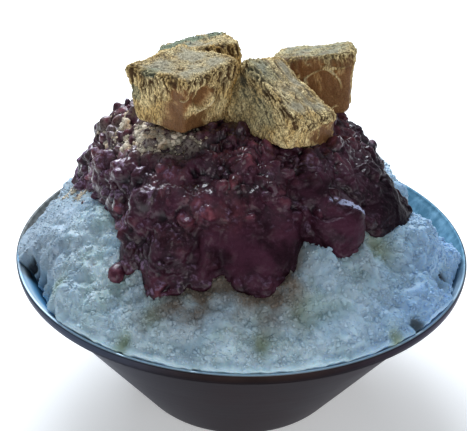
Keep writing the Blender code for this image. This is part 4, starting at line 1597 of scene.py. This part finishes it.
# x, y and reach of the spots on the ice at the far left
ICE_POWDER_SPOTS = ((-71.0, 7.0, 2.6), (-67.0, 2.5, 2.2), (-63.0, -7.0, 2.6))


def powder_places(count, rng):
    """Places on the beans, thick near the middle of each spot and thinned by the dusted mask."""
    middles, reaches, strengths = (np.array([spot[part] for spot in POWDER_SPOTS]) for part in range(3))
    weight = strengths * reaches**2
    spot = rng.choice(len(POWDER_SPOTS), 4 * count, p=weight / weight.sum())
    place = middles[spot] + rng.normal(size=(len(spot), 2)) * 0.6 * reaches[spot, None]
    radius, azimuth = to_polar(place)
    share = np.clip(radius / bean_edge(azimuth), 0.05, 0.985)
    form, normals = bean_surface(share, azimuth)
    keep = rng.uniform(size=len(spot)) < 1.2 * dusted(form, normals)
    form, normals = form[keep][:count], normals[keep][:count]
    return form, normals, 0.9 * paste_level(form, 0.5)


def ice_places(count, rng):
    """Places on the ice beside the beans, round the spots there."""
    spots = np.array(ICE_POWDER_SPOTS)
    chosen = spots[rng.integers(len(spots), size=count)]
    place = chosen[:, :2] + rng.normal(size=(count, 2)) * 0.6 * chosen[:, 2:]
    points = ice_skin(*to_polar(place))[0]
    return points, np.tile([0.0, 0.0, 1.0], (count, 1)), np.zeros(count)

# %% Clots and grains
def powder_balls(places, grid, smallest, largest, roughness, rng):
    """Ragged balls of powder at the places: points, faces and masks."""
    form, normals, lift = places
    count = len(form)
    unit, faces = ball(*grid)
    across = smallest + (largest - smallest) * rng.uniform(size=count) ** 2
    axes = axes_on(normals, across[:, None] * rng.uniform(0.6, 1.0, (count, 3)), 1.0, rng)
    lift = lift + rng.uniform(-0.1, 0.6, count)
    dents = roughness * rng.normal(size=(count, len(unit), 1))
    dents = dents + 0.35 * ripple(far_apart(unit, count), 0.8, 83)[..., None]
    points = place_balls(unit[None] * (1.0 + dents), form + normals * lift[:, None], axes)
    drier = 0.6 - 0.6 * smooth_step(form[:, 0], -40.0, -26.0)
    pale = np.clip(0.35 + drier + 0.6 * ripple(form, 5.0, 84) + 0.3 * rng.normal(size=count), 0.0, 1.0)
    masks = np.stack([0.75 + 0.2 * pale, 0.0 * pale, pale, 0.5 * (1.0 - pale)], axis=-1)
    return points, repeat_faces(faces, count, len(unit)), np.repeat(masks, len(unit), axis=0)

# %% Damp powder and the whole piece
def fallen_finish():
    """Damp powder: grey-beige, cream where it is dry and tan where syrup has soaked in."""
    finish = Finish("fallen_powder", Specular_IOR_Level=0.25, Roughness=0.95)
    pale, tan = finish.masks()[2], finish.noise(6.0, 2.0).step(0.5, 0.65)
    grain = finish.noise(0.6, 3.0)
    base = finish.colour(pale, (0.20, 0.18, 0.13), (0.92, 0.80, 0.64))
    base = finish.colour(tan * 0.5, base, (0.60, 0.38, 0.22))
    base = finish.shade(base, grain.step(0.3, 0.7), (0.65, 0.65, 0.65), (1.15, 1.15, 1.15))
    finish.feed("Base Color", base)
    finish.relief(grain, 0.3)
    return finish.material


def strew_powder(finish):
    """Clots and grains in one piece."""
    rng = np.random.default_rng(81)
    clots = powder_balls(powder_places(CLOTS, rng), (10, 5), 1.4, 3.6, 0.1, rng)
    places = zip(powder_places(GRAINS, rng), ice_places(ICE_GRAINS, rng))
    grains = powder_balls([np.concatenate(pair) for pair in places], (6, 2), 0.4, 1.4, 0.2, rng)
    points, masks = (np.concatenate([clots[part], grains[part]]) for part in (0, 2))
    faces = clots[1] + [block + len(clots[0]) for block in grains[1]]
    return make_piece("spilt_powder", points, faces, finish, masks)


serve(strew_powder(fallen_finish()), "bean_powder")

# %% [markdown]
# ## The table, the light and the camera
#
# The bowl stands on a plain pale table. The light is a broad cool window above and behind it, so the tops
# are bright, the front is in soft shade and the syrup glints. A weak warm light fills the front. The camera
# looks down at about 30 degrees from 42 cm away, as one looks at a dessert that has just been served.

# %% The table and the light
TABLE_HALF = 3000.0
# name, place, size, power and colour of each light, then the room's colour and strength
LIGHTS = (
    ("window", (-120.0, 520.0, 620.0), 520.0, 10.0, (0.86, 0.93, 1.0)),
    ("front_fill", (200.0, -700.0, 350.0), 500.0, 1.2, (1.0, 0.97, 0.94)),
)
ROOM = ((0.80, 0.90, 1.0), 0.30)
# the point that the lights face
LIGHT_AIM = (0.0, 0.0, 90.0)


def make_table():
    corners = np.array([(-1, -1, 0), (1, -1, 0), (1, 1, 0), (-1, 1, 0)]) * TABLE_HALF
    finish = Finish("pale_table", Roughness=0.8, Emission_Color=(1.0, 1.0, 1.0, 1.0), Emission_Strength=0.35)
    finish.feed("Base Color", finish.colour(finish.noise(60.0, 2.0), (0.86, 0.87, 0.88), (0.90, 0.90, 0.91)))
    make_piece("table", corners, [np.array([[0, 1, 2, 3]])], finish.material)


def make_light(name, place, size, power, colour):
    """A square area light at a place in millimetres that faces the aim."""
    data = bpy.data.lights.new(name, "AREA")
    data.shape, data.size, data.energy, data.color = "SQUARE", size * MM, power, colour
    light = bpy.data.objects.new(name, data)
    bpy.context.scene.collection.objects.link(light)
    light.location = Vector(place) * MM
    facing = Vector(LIGHT_AIM) * MM - light.location
    light.rotation_euler = facing.to_track_quat("-Z", "Y").to_euler()


def make_world(colour, strength):
    world = bpy.data.worlds.new("soft_room")
    world.use_nodes = True
    back = world.node_tree.nodes["Background"]
    back.inputs["Color"].default_value = (*colour, 1.0)
    back.inputs["Strength"].default_value = strength
    bpy.context.scene.world = world


make_table()
for light in LIGHTS:
    make_light(*light)
make_world(*ROOM)
print("lights:", [light[0] for light in LIGHTS])

# %% The camera
CAMERA_DISTANCE = 420.0
CAMERA_RISE = 30.26
CAMERA_AIM = (-3.5, 4.7, 75.1)
CAMERA_ROLL = 1.1
CAMERA_LENS = 79.65
SENSOR_WIDTH = 36.0


def make_camera():
    """Stands at its distance from the rim's middle and looks at the aim, rolled slightly to the right."""
    rise = math.radians(CAMERA_RISE)
    place = Vector((0.0, -math.cos(rise), math.sin(rise))) * CAMERA_DISTANCE + Vector((0.0, 0.0, BOWL_HEIGHT))
    data = bpy.data.cameras.new("camera")
    data.lens, data.sensor_width = CAMERA_LENS, SENSOR_WIDTH
    data.clip_start, data.clip_end = 0.01, 20.0
    camera = bpy.data.objects.new("camera", data)
    bpy.context.scene.collection.objects.link(camera)
    facing = (Vector(CAMERA_AIM) - place).to_track_quat("-Z", "Y").to_matrix().to_4x4()
    roll = Matrix.Rotation(math.radians(CAMERA_ROLL), 4, "Z")
    camera.matrix_world = Matrix.Translation(place * MM) @ facing @ roll
    return camera


bpy.context.scene.camera = make_camera()
bpy.context.scene.view_settings.view_transform = "Standard"

# %% [markdown]
